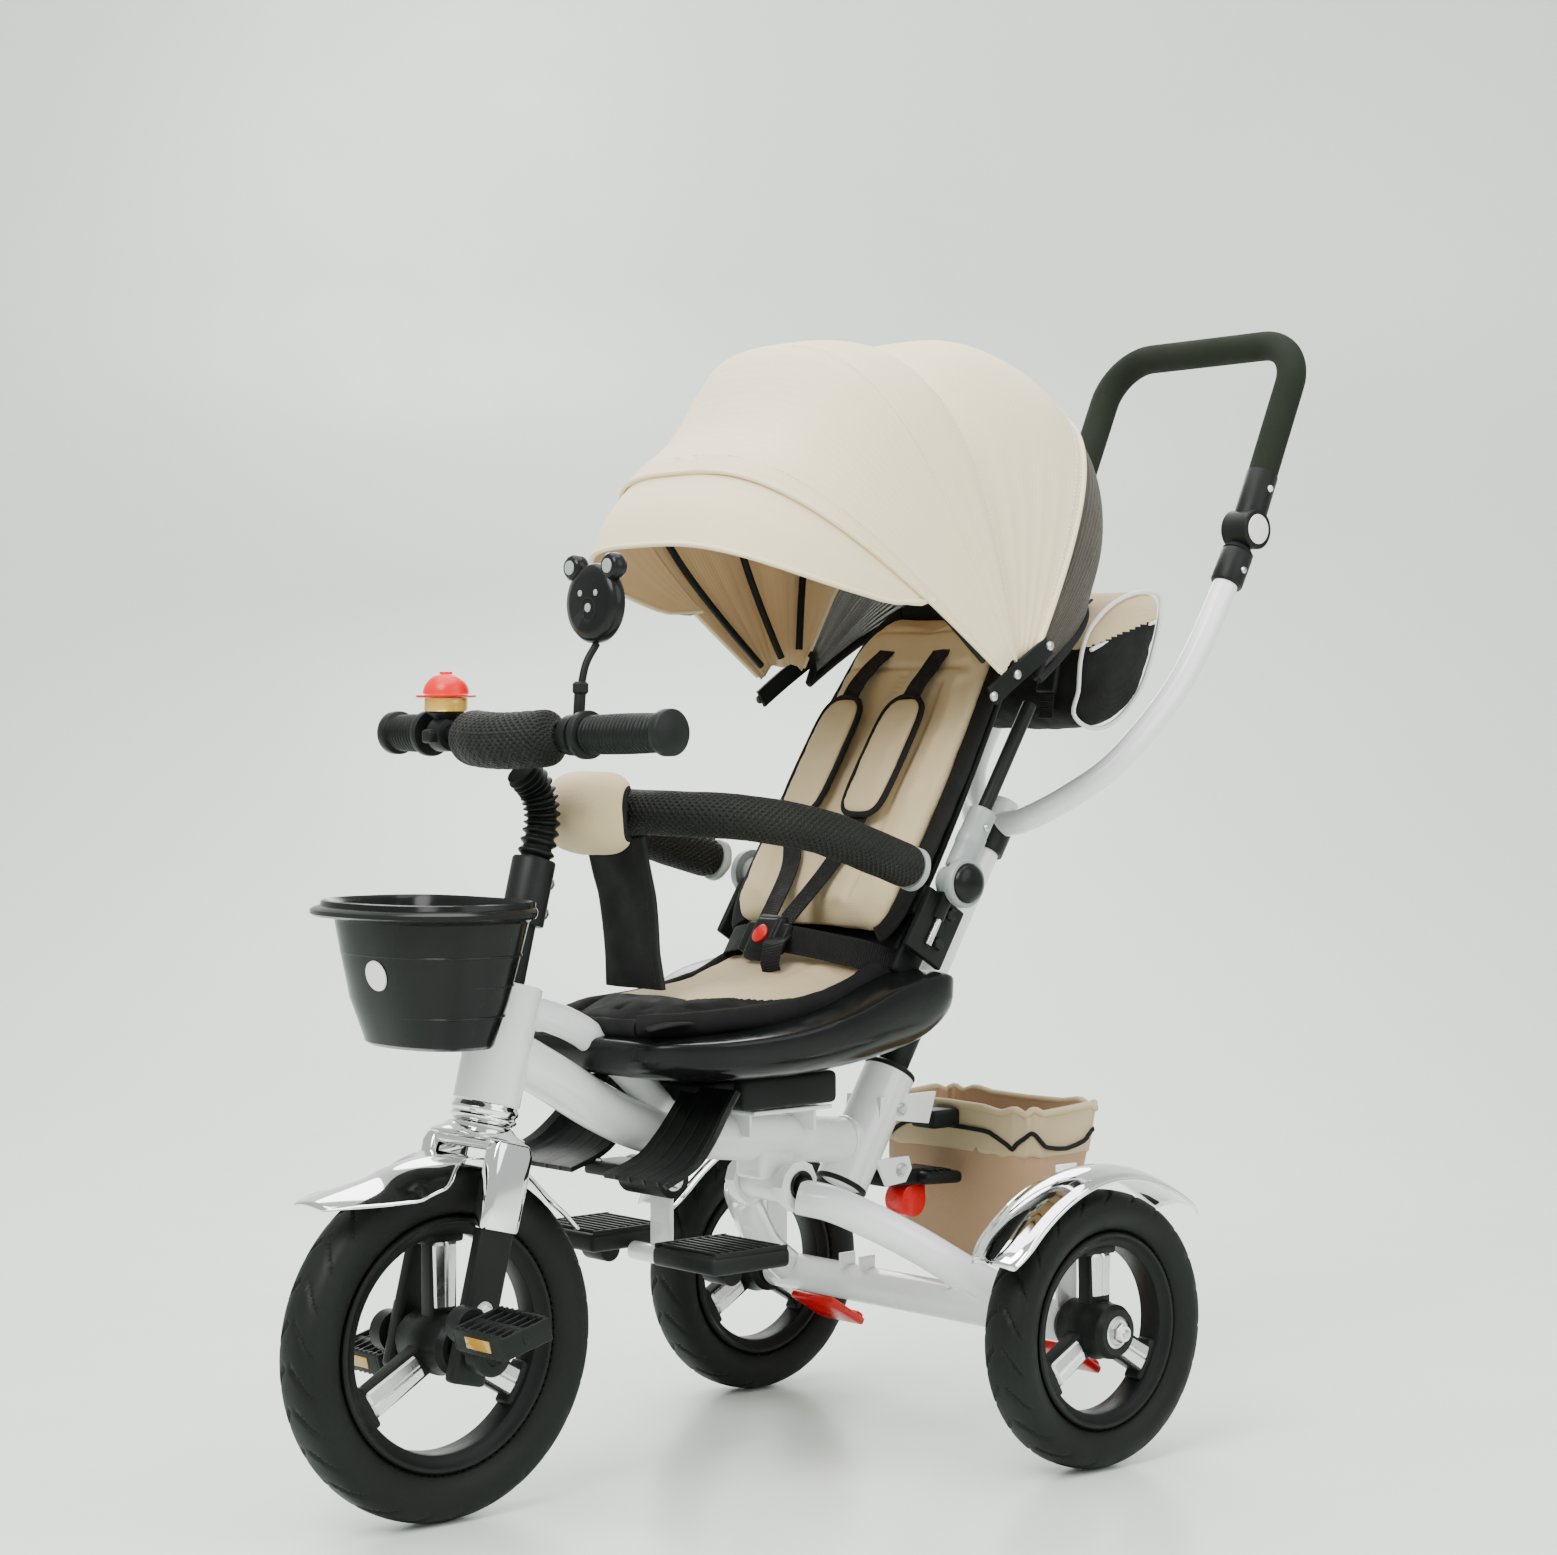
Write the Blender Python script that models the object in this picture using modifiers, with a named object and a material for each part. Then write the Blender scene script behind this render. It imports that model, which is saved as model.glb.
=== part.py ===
"""Children's tricycle with a parent handle, canopy, reclined seat and rear basket.

Metres, +Z up. The tricycle faces -Y and the child's left is +X. Every coordinate below is measured
from the point on the ground under the rear axle; the empty "tricycle" carries the whole model so
that the world origin is under the middle of its bounding box.
"""

import math

import bmesh
import bpy
from mathutils import Matrix, Vector

# Driving dimensions
REAR_AXLE_Y = 0.1331
WHEELBASE = 0.555
FRONT_RADIUS = 0.150
REAR_RADIUS = 0.125
HALF_TRACK = 0.233
TYRE_WIDTH = 0.050
WHEEL_STEPS = 32
HEAD_ANGLE = math.radians(14.04)
SEAT_LEAN = math.radians(31.8)
HUB = Vector((0, -WHEELBASE, FRONT_RADIUS))
STEER = Vector((0, math.sin(HEAD_ANGLE), math.cos(HEAD_ANGLE)))
POST_FOOT = Vector((0, -0.095, 0.240))
LEAN = Vector((0, math.sin(SEAT_LEAN), math.cos(SEAT_LEAN)))
FOLD = Vector((0, -0.181, 0.250))
KNOB = Vector((0.150, -0.098, 0.527))
CANOPY = Vector((0, -0.020, 0.693))
HOOP = Vector((0.126, 0.336, 0.864))

for old in list(bpy.data.objects):
    bpy.data.objects.remove(old)
scene = bpy.context.scene
parts = bpy.data.collections.new("tricycle_parts")
cutters = bpy.data.collections.new("cutters")
scene.collection.children.link(parts)
scene.collection.children.link(cutters)
tricycle = bpy.data.objects.new("tricycle", None)
tricycle.location = (0, REAR_AXLE_Y, 0)
parts.objects.link(tricycle)
JOINTS = {"frame": (tricycle, Matrix())}


def joint(name, parent, place, tilt=0.0):
    """An empty on a joint's axis, under its parent joint's empty."""
    empty = bpy.data.objects.new("axis_" + name, None)
    world = Matrix.Translation(place) @ Matrix.Rotation(tilt, 4, "X")
    above, above_world = JOINTS[parent]
    empty.parent = above
    empty.matrix_basis = above_world.inverted() @ world
    parts.objects.link(empty)
    JOINTS[name] = (empty, world)


def material(name, colour, roughness, metallic=0.0):
    made = bpy.data.materials.new(name)
    made.use_nodes = True
    shader = made.node_tree.nodes["Principled BSDF"]
    shader.inputs["Base Color"].default_value = (*colour, 1)
    shader.inputs["Roughness"].default_value = roughness
    shader.inputs["Metallic"].default_value = metallic
    return made


WHITE = material("white_paint", (0.85, 0.86, 0.87), 0.25)
BLACK = material("black_plastic", (0.02, 0.02, 0.02), 0.35)
FOAM = material("black_foam", (0.03, 0.03, 0.03), 0.9)
RUBBER = material("tyre_rubber", (0.025, 0.025, 0.025), 0.75)
CHROME = material("chrome", (0.8, 0.8, 0.8), 0.08, 1.0)
GREY = material("grey_plastic", (0.35, 0.38, 0.37), 0.45)
RED = material("red_plastic", (0.75, 0.03, 0.02), 0.35)
AMBER = material("amber_plastic", (0.85, 0.5, 0.08), 0.2)
CREAM = material("cream_fabric", (0.72, 0.60, 0.44), 0.9)
BEIGE = material("beige_cushion", (0.62, 0.50, 0.34), 0.9)
TAN = material("tan_fabric", (0.42, 0.29, 0.15), 0.9)
WEBBING = material("webbing", (0.02, 0.02, 0.02), 0.8)
STEEL = material("bow_steel", (0.03, 0.03, 0.03), 0.4)


def finish(obj, name, body, paint):
    """Names the object, gives it its material and hangs it from its body's axis."""
    obj.name = name
    obj.data.name = name
    obj.data.materials.clear()
    obj.data.materials.append(paint)
    empty, world = JOINTS[body]
    obj.parent = empty
    obj.matrix_parent_inverse = world.inverted()
    if obj.type == "MESH":
        obj.data.shade_smooth()
        obj.data.set_sharp_from_angle(angle=math.radians(35))
    return obj


def solid(bm, name="piece"):
    mesh = bpy.data.meshes.new(name)
    bmesh.ops.recalc_face_normals(bm, faces=bm.faces)
    bm.to_mesh(mesh)
    bm.free()
    obj = bpy.data.objects.new(name, mesh)
    parts.objects.link(obj)
    return obj


def block(centre, size, tilt=0.0, bevel=0.0):
    """A box, tilted about X, with its edges rounded by one chamfer."""
    bm = bmesh.new()
    bmesh.ops.create_cube(bm, size=1.0)
    bmesh.ops.scale(bm, vec=size, verts=bm.verts)
    if bevel:
        bmesh.ops.bevel(bm, geom=bm.edges[:], offset=bevel, segments=1, affect="EDGES")
    place = Matrix.Translation(centre) @ Matrix.Rotation(tilt, 4, "X")
    bmesh.ops.transform(bm, matrix=place, verts=bm.verts)
    return solid(bm)


def rod(start, end, radius, sides=12, end_radius=None):
    """A straight round bar between two points."""
    start, end = Vector(start), Vector(end)
    along = end - start
    bm = bmesh.new()
    last = radius if end_radius is None else end_radius
    bmesh.ops.create_cone(
        bm, cap_ends=True, segments=sides, radius1=radius, radius2=last, depth=along.length
    )
    turn = along.to_track_quat("Z", "Y").to_matrix().to_4x4()
    bmesh.ops.transform(bm, matrix=Matrix.Translation((start + end) / 2) @ turn, verts=bm.verts)
    return solid(bm)


def smooth_points(points, per_span=4, cyclic=False):
    """Points on a smooth curve through the given ones."""
    points = [Vector(p) for p in points]
    count = len(points)
    spans = count if cyclic else count - 1
    made = []
    for i in range(spans):
        a = points[(i - 1) % count] if cyclic or i else points[0]
        b, c = points[i], points[(i + 1) % count]
        d = points[(i + 2) % count] if cyclic or i + 2 < count else points[-1]
        for k in range(per_span):
            t = k / per_span
            made.append(
                0.5 * (2 * b + (c - a) * t + (2 * a - 5 * b + 4 * c - d) * t * t
                       + (3 * b - a - 3 * c + d) * t ** 3)
            )
    return made if cyclic else made + [points[-1]]


def tube(points, radius, sides=10, per_span=3):
    """A round bar bent along a smooth curve, as a closed mesh."""
    curve = bpy.data.curves.new("tube", "CURVE")
    curve.dimensions = "3D"
    curve.bevel_depth = radius
    curve.bevel_resolution = (sides - 4) // 2
    curve.use_fill_caps = True
    route = smooth_points(points, per_span)
    spline = curve.splines.new("POLY")
    spline.points.add(len(route) - 1)
    for point, place in zip(spline.points, route):
        point.co = (*place, 1)
    guide = bpy.data.objects.new("tube", curve)
    parts.objects.link(guide)
    graph = bpy.context.evaluated_depsgraph_get()
    mesh = bpy.data.meshes.new_from_object(guide.evaluated_get(graph))
    bpy.data.objects.remove(guide)
    bm = bmesh.new()
    bm.from_mesh(mesh)
    bmesh.ops.remove_doubles(bm, verts=bm.verts, dist=1e-6)
    return solid(bm)


def loft(rings):
    """A closed solid through rings of points, with flat ends."""
    bm = bmesh.new()
    rows = [[bm.verts.new(p) for p in ring] for ring in rings]
    count = len(rows[0])
    for low, high in zip(rows, rows[1:]):
        for i in range(count):
            j = (i + 1) % count
            bm.faces.new((low[i], low[j], high[j], high[i]))
    bm.faces.new(rows[0][::-1])
    bm.faces.new(rows[-1])
    return solid(bm)


def sheet(grid, thickness, inward=-1.0):
    """An open surface from rows of points, thickened with Solidify."""
    bm = bmesh.new()
    rows = [[bm.verts.new(p) for p in row] for row in grid]
    for low, high in zip(rows, rows[1:]):
        for i in range(len(low) - 1):
            bm.faces.new((low[i], low[i + 1], high[i + 1], high[i]))
    mesh = bpy.data.meshes.new("sheet")
    bm.to_mesh(mesh)
    bm.free()
    obj = bpy.data.objects.new("sheet", mesh)
    parts.objects.link(obj)
    thick = obj.modifiers.new("Thickness", "SOLIDIFY")
    thick.thickness = thickness
    thick.offset = inward
    return obj


def turned(profile, centre, direction, steps):
    """A turned solid. The profile's (radius, height) points run down its outer side."""
    mesh = bpy.data.meshes.new("turned")
    edges = [(i, i + 1) for i in range(len(profile) - 1)]
    if profile[0][0] > 0:
        edges.append((len(profile) - 1, 0))
    mesh.from_pydata([(r, 0, h) for r, h in profile], edges, [])
    obj = bpy.data.objects.new("turned", mesh)
    parts.objects.link(obj)
    screw = obj.modifiers.new("Turn", "SCREW")
    screw.steps = screw.render_steps = steps
    screw.use_merge_vertices = True
    screw.merge_threshold = 0.00001
    screw.use_smooth_shade = True
    turn = Vector(direction).to_track_quat("Z", "Y")
    obj.matrix_basis = Matrix.Translation(centre) @ turn.to_matrix().to_4x4()
    return obj


def combine(base, others, operation="UNION"):
    """Adds a live Boolean for each of the others, which become hidden cutters."""
    for other in others:
        parts.objects.unlink(other)
        cutters.objects.link(other)
        other.name = "cutter"
        other.hide_render = True
        other.display_type = "WIRE"
        other.parent = tricycle
        step = base.modifiers.new(operation.title(), "BOOLEAN")
        step.operation = operation
        step.object = other
    return base


def along_steer(distance, x=0.0, forward=0.0):
    """A point at a distance up the steering axis from the front hub."""
    ahead = Vector((0, -STEER.z, STEER.y))
    return HUB + STEER * distance + ahead * forward + Vector((x, 0, 0))


def mirrored(point, side):
    return Vector((side * point[0], point[1], point[2]))


# Joint axes
joint("fork", "frame", HUB, -HEAD_ANGLE)
joint("front_wheel", "fork", HUB)
joint("rear_frame", "frame", FOLD)
joint("release", "frame", (0, -0.047, 0.250))
joint("bumper", "frame", (0, KNOB.y, KNOB.z))
joint("canopy_mid", "frame", CANOPY)
joint("canopy_front", "frame", CANOPY)
joint("hoop", "frame", (0, HOOP.y, HOOP.z))
PEDAL_UP = Vector((0, -0.022, 0.027))
for side, word in ((1, "left"), (-1, "right")):
    joint("pedal_" + word, "front_wheel", HUB + Vector((side * 0.12, 0, 0)) + side * PEDAL_UP)
    joint("rear_wheel_" + word, "rear_frame", (side * HALF_TRACK, 0, REAR_RADIUS))
    joint("brake_" + word, "rear_frame", (side * 0.16, 0.012, 0.098))
    joint("foot_pad_" + word, "frame", (side * 0.040, -0.315, 0.200))


DOWN_ROUTE = [(0, -0.490, 0.392), (0, -0.440, 0.366), (0, -0.382, 0.333), (0, -0.330, 0.311),
              (0, -0.268, 0.300), (0, -0.075, 0.2785)]
BRACE_ROUTE = [(0, -0.475, 0.429), (0, -0.405, 0.403), (0, -0.345, 0.357), (0, -0.290, 0.305)]


def make_main_frame():
    head = rod(along_steer(0.2035), along_steer(0.3065), 0.029, 24)
    down = tube(DOWN_ROUTE, 0.0215, 12, 2)
    brace = tube(BRACE_ROUTE, 0.0140, 10, 2)
    socket = rod(POST_FOOT, POST_FOOT + LEAN * 0.117, 0.025, 20)
    plate = block((0, -0.195, 0.3205), (0.090, 0.095, 0.004))
    web = block((0, -0.160, 0.309), (0.070, 0.004, 0.024))
    saddle = block((0, -0.190, 0.270), (0.038, 0.046, 0.030))
    sleeve = rod((-0.0262, FOLD.y, FOLD.z), (0.0262, FOLD.y, FOLD.z), 0.018, 20)
    pieces = [down, brace, socket, plate, web, saddle, sleeve]
    for side in (-1, 1):
        pieces.append(block((side * 0.0215, -0.027, 0.305), (0.004, 0.075, 0.024), 0.0, 0.001))
        pieces.append(block((side * 0.0215, -0.060, 0.250), (0.004, 0.062, 0.034), 0.35, 0.001))
    combine(head, pieces)
    bores = [rod(along_steer(0.190), along_steer(0.320), 0.0135, 16),
             rod(POST_FOOT - LEAN * 0.01, POST_FOOT + LEAN * 0.13, 0.0198, 20),
             rod((-0.04, FOLD.y, FOLD.z), (0.04, FOLD.y, FOLD.z), 0.0085, 16)]
    finish(combine(head, bores, "DIFFERENCE"), "main_frame", "frame", WHITE)


def make_headset():
    ring = [(0.0275, 0.0085), (0.029, 0.004), (0.029, -0.004), (0.0275, -0.0085),
            (0.0130, -0.0085), (0.0130, 0.0085)]
    finish(turned(ring, along_steer(0.1944), STEER, 24), "headset", "frame", CHROME)


def make_fork():
    crown = block(along_steer(0.1715), (0.112, 0.042, 0.013), -HEAD_ANGLE, 0.002)
    dish = rod(along_steer(0.170), along_steer(0.1855), 0.040, 24, 0.030)
    steerer = rod(along_steer(0.175), along_steer(0.3068), 0.0122, 16)
    pieces = [dish, steerer]
    for side in (-1, 1):
        pieces.append(block(along_steer(0.0735, side * 0.0455), (0.015, 0.034, 0.199), -HEAD_ANGLE, 0.002))
        pieces.append(block(along_steer(0.141, side * 0.0455), (0.019, 0.040, 0.062), -HEAD_ANGLE, 0.001))
    combine(crown, pieces)
    bore = rod((-0.07, HUB.y, HUB.z), (0.07, HUB.y, HUB.z), 0.0075, 12)
    finish(combine(crown, [bore], "DIFFERENCE"), "fork", "fork", BLACK)


def make_front_fender():
    """A lobed mudguard that hugs the tyre under the crown and flares at its front lip."""
    rows = []
    for i in range(13):
        degrees = -50 + 90 * i / 12
        angle = math.radians(degrees)
        lift = 0.1565 + 0.024 * max(0.0, (degrees - 12) / 28) ** 2
        lobe = min(1.0, max(0.0, abs(degrees + 14) - 10) / 16)
        half = (0.033 + 0.020 * lobe) * (1 - 0.45 * max(0.0, (degrees - 28) / 12))
        droop = 0.020 * lobe * min(1.0, (42 - degrees) / 14)
        row = []
        for k in range(9):
            across = -1 + 2 * k / 8
            reach = Vector((0, -math.sin(angle), math.cos(angle))) * (lift - droop * across * across)
            row.append(HUB + Vector((half * across, 0, 0)) + reach)
        rows.append(row)
    finish(sheet(rows, 0.0018, 1.0), "front_fender", "fork", CHROME)


def make_stem():
    sleeve = rod(along_steer(0.3075), along_steer(0.362), 0.0125, 16)
    clamp = rod(along_steer(0.358), along_steer(0.416), 0.0185, 16)
    bracket = block((0, -0.4905, 0.478), (0.024, 0.034, 0.030), -HEAD_ANGLE)
    neck = tube([along_steer(0.410), (0, -0.446, 0.585), (0, -0.451, 0.612), (0, -0.468, 0.6295)],
                0.0135, 10, 3)
    finish(combine(clamp, [sleeve, bracket, neck]), "stem", "fork", BLACK)


BAR_ROUTE = [(-0.1945, -0.462, 0.662), (-0.150, -0.463, 0.662), (-0.090, -0.468, 0.660),
             (-0.045, -0.481, 0.657), (0, -0.487, 0.655), (0.045, -0.481, 0.657),
             (0.090, -0.468, 0.660), (0.150, -0.463, 0.662), (0.1945, -0.462, 0.662)]


def on_bar(x):
    """The handlebar's centre line at x, which is straight outside the foam."""
    share = (abs(x) - 0.090) / 0.060
    y = -0.468 + 0.005 * share if share < 1 else -0.463
    return Vector((x, y, 0.660 + 0.002 * min(share, 1)))


def make_handlebar():
    bar = tube(BAR_ROUTE, 0.0095, 10, 2)
    finish(bar, "handlebar", "fork", BLACK)
    pad = tube([(x, y, z) for x, y, z in
                [(-0.063, -0.4763, 0.6583), (-0.030, -0.4845, 0.656), (0, -0.487, 0.655),
                 (0.030, -0.4845, 0.656), (0.063, -0.4763, 0.6583)]], 0.0245, 14, 2)
    channel = tube(BAR_ROUTE, 0.0098, 10, 2)
    neck = tube([along_steer(0.410), (0, -0.446, 0.585), (0, -0.451, 0.612), (0, -0.4695, 0.6315)],
                0.0139, 10, 3)
    finish(combine(pad, [channel, neck], "DIFFERENCE"), "bar_foam", "fork", FOAM)
    for side, word in ((1, "left"), (-1, "right")):
        inner = 0.0865 if side > 0 else 0.1350
        grip = combine(
            rod(on_bar(side * inner), on_bar(side * 0.1930), 0.0160, 16),
            [rod(on_bar(side * inner), on_bar(side * (inner + 0.008)), 0.0205, 16),
             rod(on_bar(side * 0.187), on_bar(side * 0.1975), 0.0195, 16)])
        finish(combine(grip, [tube(BAR_ROUTE, 0.0098, 10, 2)], "DIFFERENCE"), "grip_" + word, "fork", BLACK)


def make_bell():
    x = -0.113
    seat = on_bar(x)
    clamp = rod(seat - Vector((0.010, 0, 0)), seat + Vector((0.010, 0, 0)), 0.0155, 16)
    pillar = rod(seat + Vector((0, 0, 0.008)), seat + Vector((0, 0, 0.0195)), 0.010, 16, 0.016)
    amber = rod(seat + Vector((0, 0, 0.019)), seat + Vector((0, 0, 0.0325)), 0.019, 20)
    base = combine(clamp, [pillar, amber])
    finish(combine(base, [tube(BAR_ROUTE, 0.0098, 10, 2)], "DIFFERENCE"), "bell_base", "fork", AMBER)
    dome = [(0, 0.0215)] + [(0.0205 * math.sin(a), 0.0215 * math.cos(a))
                            for a in (math.radians(18 * i) for i in range(1, 5))]
    dome += [(0.0205, 0.0025), (0.0265, 0.0015), (0.0265, 0.0), (0, 0.0)]
    finish(turned(dome, seat + Vector((0, 0, 0.0328)), (0, 0, 1), 24), "bell_dome", "fork", RED)


MIRROR = Vector((0.075, -0.446, 0.771))


def make_mirror():
    foot = on_bar(0.0745)
    clamp = rod(foot - Vector((0.006, 0, 0)), foot + Vector((0.006, 0, 0)), 0.0175, 16)
    lower = rod(foot + Vector((0, 0.004, 0.010)), foot + Vector((0, 0.006, 0.040)), 0.0050, 10)
    neck = tube([foot + Vector((0, 0.006, 0.038)), foot + Vector((0, 0.012, 0.060)),
                 (MIRROR.x, MIRROR.y + 0.001, MIRROR.z - 0.0365)], 0.0033, 8, 3)
    stalk = combine(clamp, [lower, neck])
    finish(combine(stalk, [tube(BAR_ROUTE, 0.0098, 10, 2)], "DIFFERENCE"), "mirror_neck", "fork", BLACK)
    disc = [(0, 0.009), (0.022, 0.0075), (0.031, 0.004), (0.0335, 0.0), (0.0335, -0.004),
            (0.031, -0.0065), (0, -0.0065)]
    head = turned(disc, MIRROR, (0, -1, 0), 28)
    ears = []
    for side in (-1, 1):
        ear = MIRROR + Vector((side * 0.0255, 0, 0.0315))
        ears.append(rod(ear + Vector((0, -0.004, 0)), ear + Vector((0, 0.003, 0)), 0.011, 16))
    finish(combine(head, ears), "mirror_head", "fork", BLACK)


def basket_ring(half, front, rear, z, count=20):
    """A plan outline: a straight back, round corners and a bowed front."""
    ring = []
    middle = (front + rear) / 2
    for i in range(count):
        angle = 2 * math.pi * (i + 0.5) / count
        cx, cy = math.cos(angle), math.sin(angle)
        power = 0.62 if cy > 0 else 0.85
        x = half * math.copysign(abs(cx) ** power, cx)
        y = middle + (rear - front) / 2 * math.copysign(abs(cy) ** power, cy)
        ring.append(Vector((x, y, z)))
    return ring


def back_of_basket(z):
    return -0.5285 + 0.25 * (z - 0.400)


def make_front_basket():
    levels = [(0.398, 0.064, -0.606), (0.440, 0.078, -0.618), (0.480, 0.086, -0.626), (0.508, 0.091, -0.631)]
    body = loft([basket_ring(half, front, back_of_basket(z), z) for z, half, front in levels]
                + [basket_ring(0.104, -0.648, back_of_basket(0.509) + 0.002, 0.509),
                   basket_ring(0.106, -0.651, back_of_basket(0.512) + 0.002, 0.513),
                   basket_ring(0.098, -0.642, back_of_basket(0.520) - 0.002, 0.522)])
    hollow = loft([basket_ring(half - 0.0028, front + 0.0028, back_of_basket(z) - 0.0028, z + rise)
                   for (z, half, front), rise in zip(levels, (0.003, 0, 0, 0))]
                  + [basket_ring(0.0895, -0.634, back_of_basket(0.530) - 0.006, 0.530)])
    finish(combine(body, [hollow], "DIFFERENCE"), "front_basket", "fork", BLACK)


def tyre_profile(outer, inner, half):
    """A closed ring: flat tread, round shoulders and the bead at the rim."""
    depth = outer - inner
    flat = outer / math.cos(math.pi / WHEEL_STEPS)
    return [(inner, half * 0.62), (inner + 0.50 * depth, half), (outer - 0.16 * depth, half * 0.76),
            (flat, half * 0.30), (flat, -half * 0.30), (outer - 0.16 * depth, -half * 0.76),
            (inner + 0.50 * depth, -half), (inner, -half * 0.62)]


def make_wheel(kind, word, body, centre, outer, bead, opening, hub_half, bore):
    """Tyre and rim: barrel, hub and three flat spokes, which are turned half a step onto a flat."""
    half = TYRE_WIDTH / 2
    tread = turned(tyre_profile(outer, bead, half), centre, (1, 0, 0), WHEEL_STEPS)
    tread.matrix_basis = tread.matrix_basis @ Matrix.Rotation(math.pi / WHEEL_STEPS, 4, "Z")
    finish(tread, f"{kind}_tyre{word}", body, RUBBER)
    rim = [(bead - 0.0006, 0.0155), (bead - 0.0006, -0.0155), (bead - 0.005, -0.0185),
           (opening, -0.0185), (opening, 0.0185), (bead - 0.005, 0.0185)]
    barrel = turned(rim, centre, (1, 0, 0), WHEEL_STEPS)
    across = Vector((hub_half, 0, 0))
    pieces = [rod(centre - across, centre + across, 0.027, 20)]
    for i in range(3):
        angle = math.radians(90 + 120 * i)
        reach = Vector((0, math.cos(angle), math.sin(angle)))
        spoke = block((0, 0, 0), (0.018, 0.026, opening - 0.012))
        spoke.matrix_basis = (Matrix.Translation(centre + reach * (opening + 0.016) / 2)
                              @ Matrix.Rotation(angle - math.pi / 2, 4, "X"))
        pieces.append(spoke)
    combine(barrel, pieces)
    hole = rod(centre - across * 1.5, centre + across * 1.5, bore, 16)
    finish(combine(barrel, [hole], "DIFFERENCE"), f"{kind}_rim{word}", body, BLACK)


def make_crankset():
    spindle = rod(HUB - Vector((0.068, 0, 0)), HUB + Vector((0.068, 0, 0)), 0.0070, 12)
    pieces = []
    for side in (-1, 1):
        boss = HUB + Vector((side * 0.070, 0, 0))
        tip = boss + side * PEDAL_UP
        pieces.append(rod(boss - Vector((0.009, 0, 0)), boss + Vector((0.009, 0, 0)), 0.018, 16))
        pieces.append(rod(tip - Vector((0.009, 0, 0)), tip + Vector((0.009, 0, 0)), 0.0155, 16))
        pieces.append(block((boss + tip) / 2, (0.016, 0.026, 0.030), side * math.radians(39.2)))
        pieces.append(rod(tip, tip + Vector((side * 0.084, 0, 0)), 0.0045, 10))
    finish(combine(spindle, pieces), "crankset", "front_wheel", BLACK)


def make_pedals():
    for side, word in ((1, "left"), (-1, "right")):
        middle = HUB + Vector((side * 0.119, 0, 0)) + side * PEDAL_UP
        tread = block(middle, (0.068, 0.050, 0.021), 0.25, 0.004)
        hole = rod(middle - Vector((0.05, 0, 0)), middle + Vector((0.05, 0, 0)), 0.0048, 10)
        finish(combine(tread, [hole], "DIFFERENCE"), "pedal_" + word, "pedal_" + word, BLACK)


def make_rear_fork():
    axle = rod((-0.200, 0, REAR_RADIUS), (0.200, 0, REAR_RADIUS), 0.018, 20)
    pieces = []
    for side in (-1, 1):
        route = [(0.176, -0.008, 0.130), (0.150, -0.060, 0.162), (0.110, -0.115, 0.203),
                 (0.068, -0.160, 0.232), (0.038, -0.181, 0.240)]
        pieces.append(tube([mirrored(point, side) for point in route], 0.0165, 12, 2))
        pieces.append(block((side * 0.0335, FOLD.y, FOLD.z - 0.004), (0.012, 0.034, 0.044), 0.0, 0.002))
        pieces.append(rod((side * 0.190, 0, REAR_RADIUS), (side * 0.272, 0, REAR_RADIUS), 0.0070, 12))
        pieces.append(block((side * 0.1985, 0.0, 0.205), (0.003, 0.026, 0.130)))
        pieces.append(block((side * 0.080, 0.0, 0.146), (0.026, 0.024, 0.012), 0.0, 0.001))
    pin = rod((-0.040, FOLD.y, FOLD.z), (0.040, FOLD.y, FOLD.z), 0.0080, 14)
    combine(axle, [*pieces, pin])
    finish(axle, "rear_fork", "rear_frame", WHITE)


def make_rear_fenders():
    for side, word in ((1, "left"), (-1, "right")):
        centre = Vector((side * HALF_TRACK, 0, REAR_RADIUS))
        rows = []
        for i in range(13):
            angle = math.radians(-50 + 112 * i / 12)
            flare = 0.010 * abs((math.degrees(angle) - 6) / 56) ** 3
            half = 0.033 - 0.004 * abs((math.degrees(angle) - 6) / 56) ** 4
            row = []
            for k in range(7):
                across = -1 + 2 * k / 6
                radius = 0.1465 + flare - 0.012 * across * across
                reach = Vector((0, -math.sin(angle), math.cos(angle)))
                row.append(centre + Vector((half * across * side, 0, 0)) + reach * radius)
            rows.append(row if side > 0 else row[::-1])
        finish(sheet(rows, 0.0018, 1.0), "rear_fender_" + word, "rear_frame", CHROME)


def make_brakes():
    for side, word in ((1, "left"), (-1, "right")):
        place = Vector((side * 0.160, 0.034, 0.086))
        lever = block(place, (0.062, 0.052, 0.008), -0.55, 0.002)
        finish(lever, "brake_" + word, "brake_" + word, RED)


def make_release_pedal():
    arm = block((0, -0.0160, 0.240), (0.034, 0.080, 0.016), -0.05, 0.003)
    pad = block((0, 0.012, 0.238), (0.060, 0.050, 0.012), -0.05, 0.003)
    latch = rod((-0.012, -0.012, 0.217), (0.012, -0.012, 0.217), 0.016, 12)
    pin = rod((-0.0185, -0.047, 0.246), (0.0185, -0.047, 0.246), 0.006, 10)
    finish(combine(arm, [pad, latch, pin]), "release_pedal", "release", BLACK)


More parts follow.
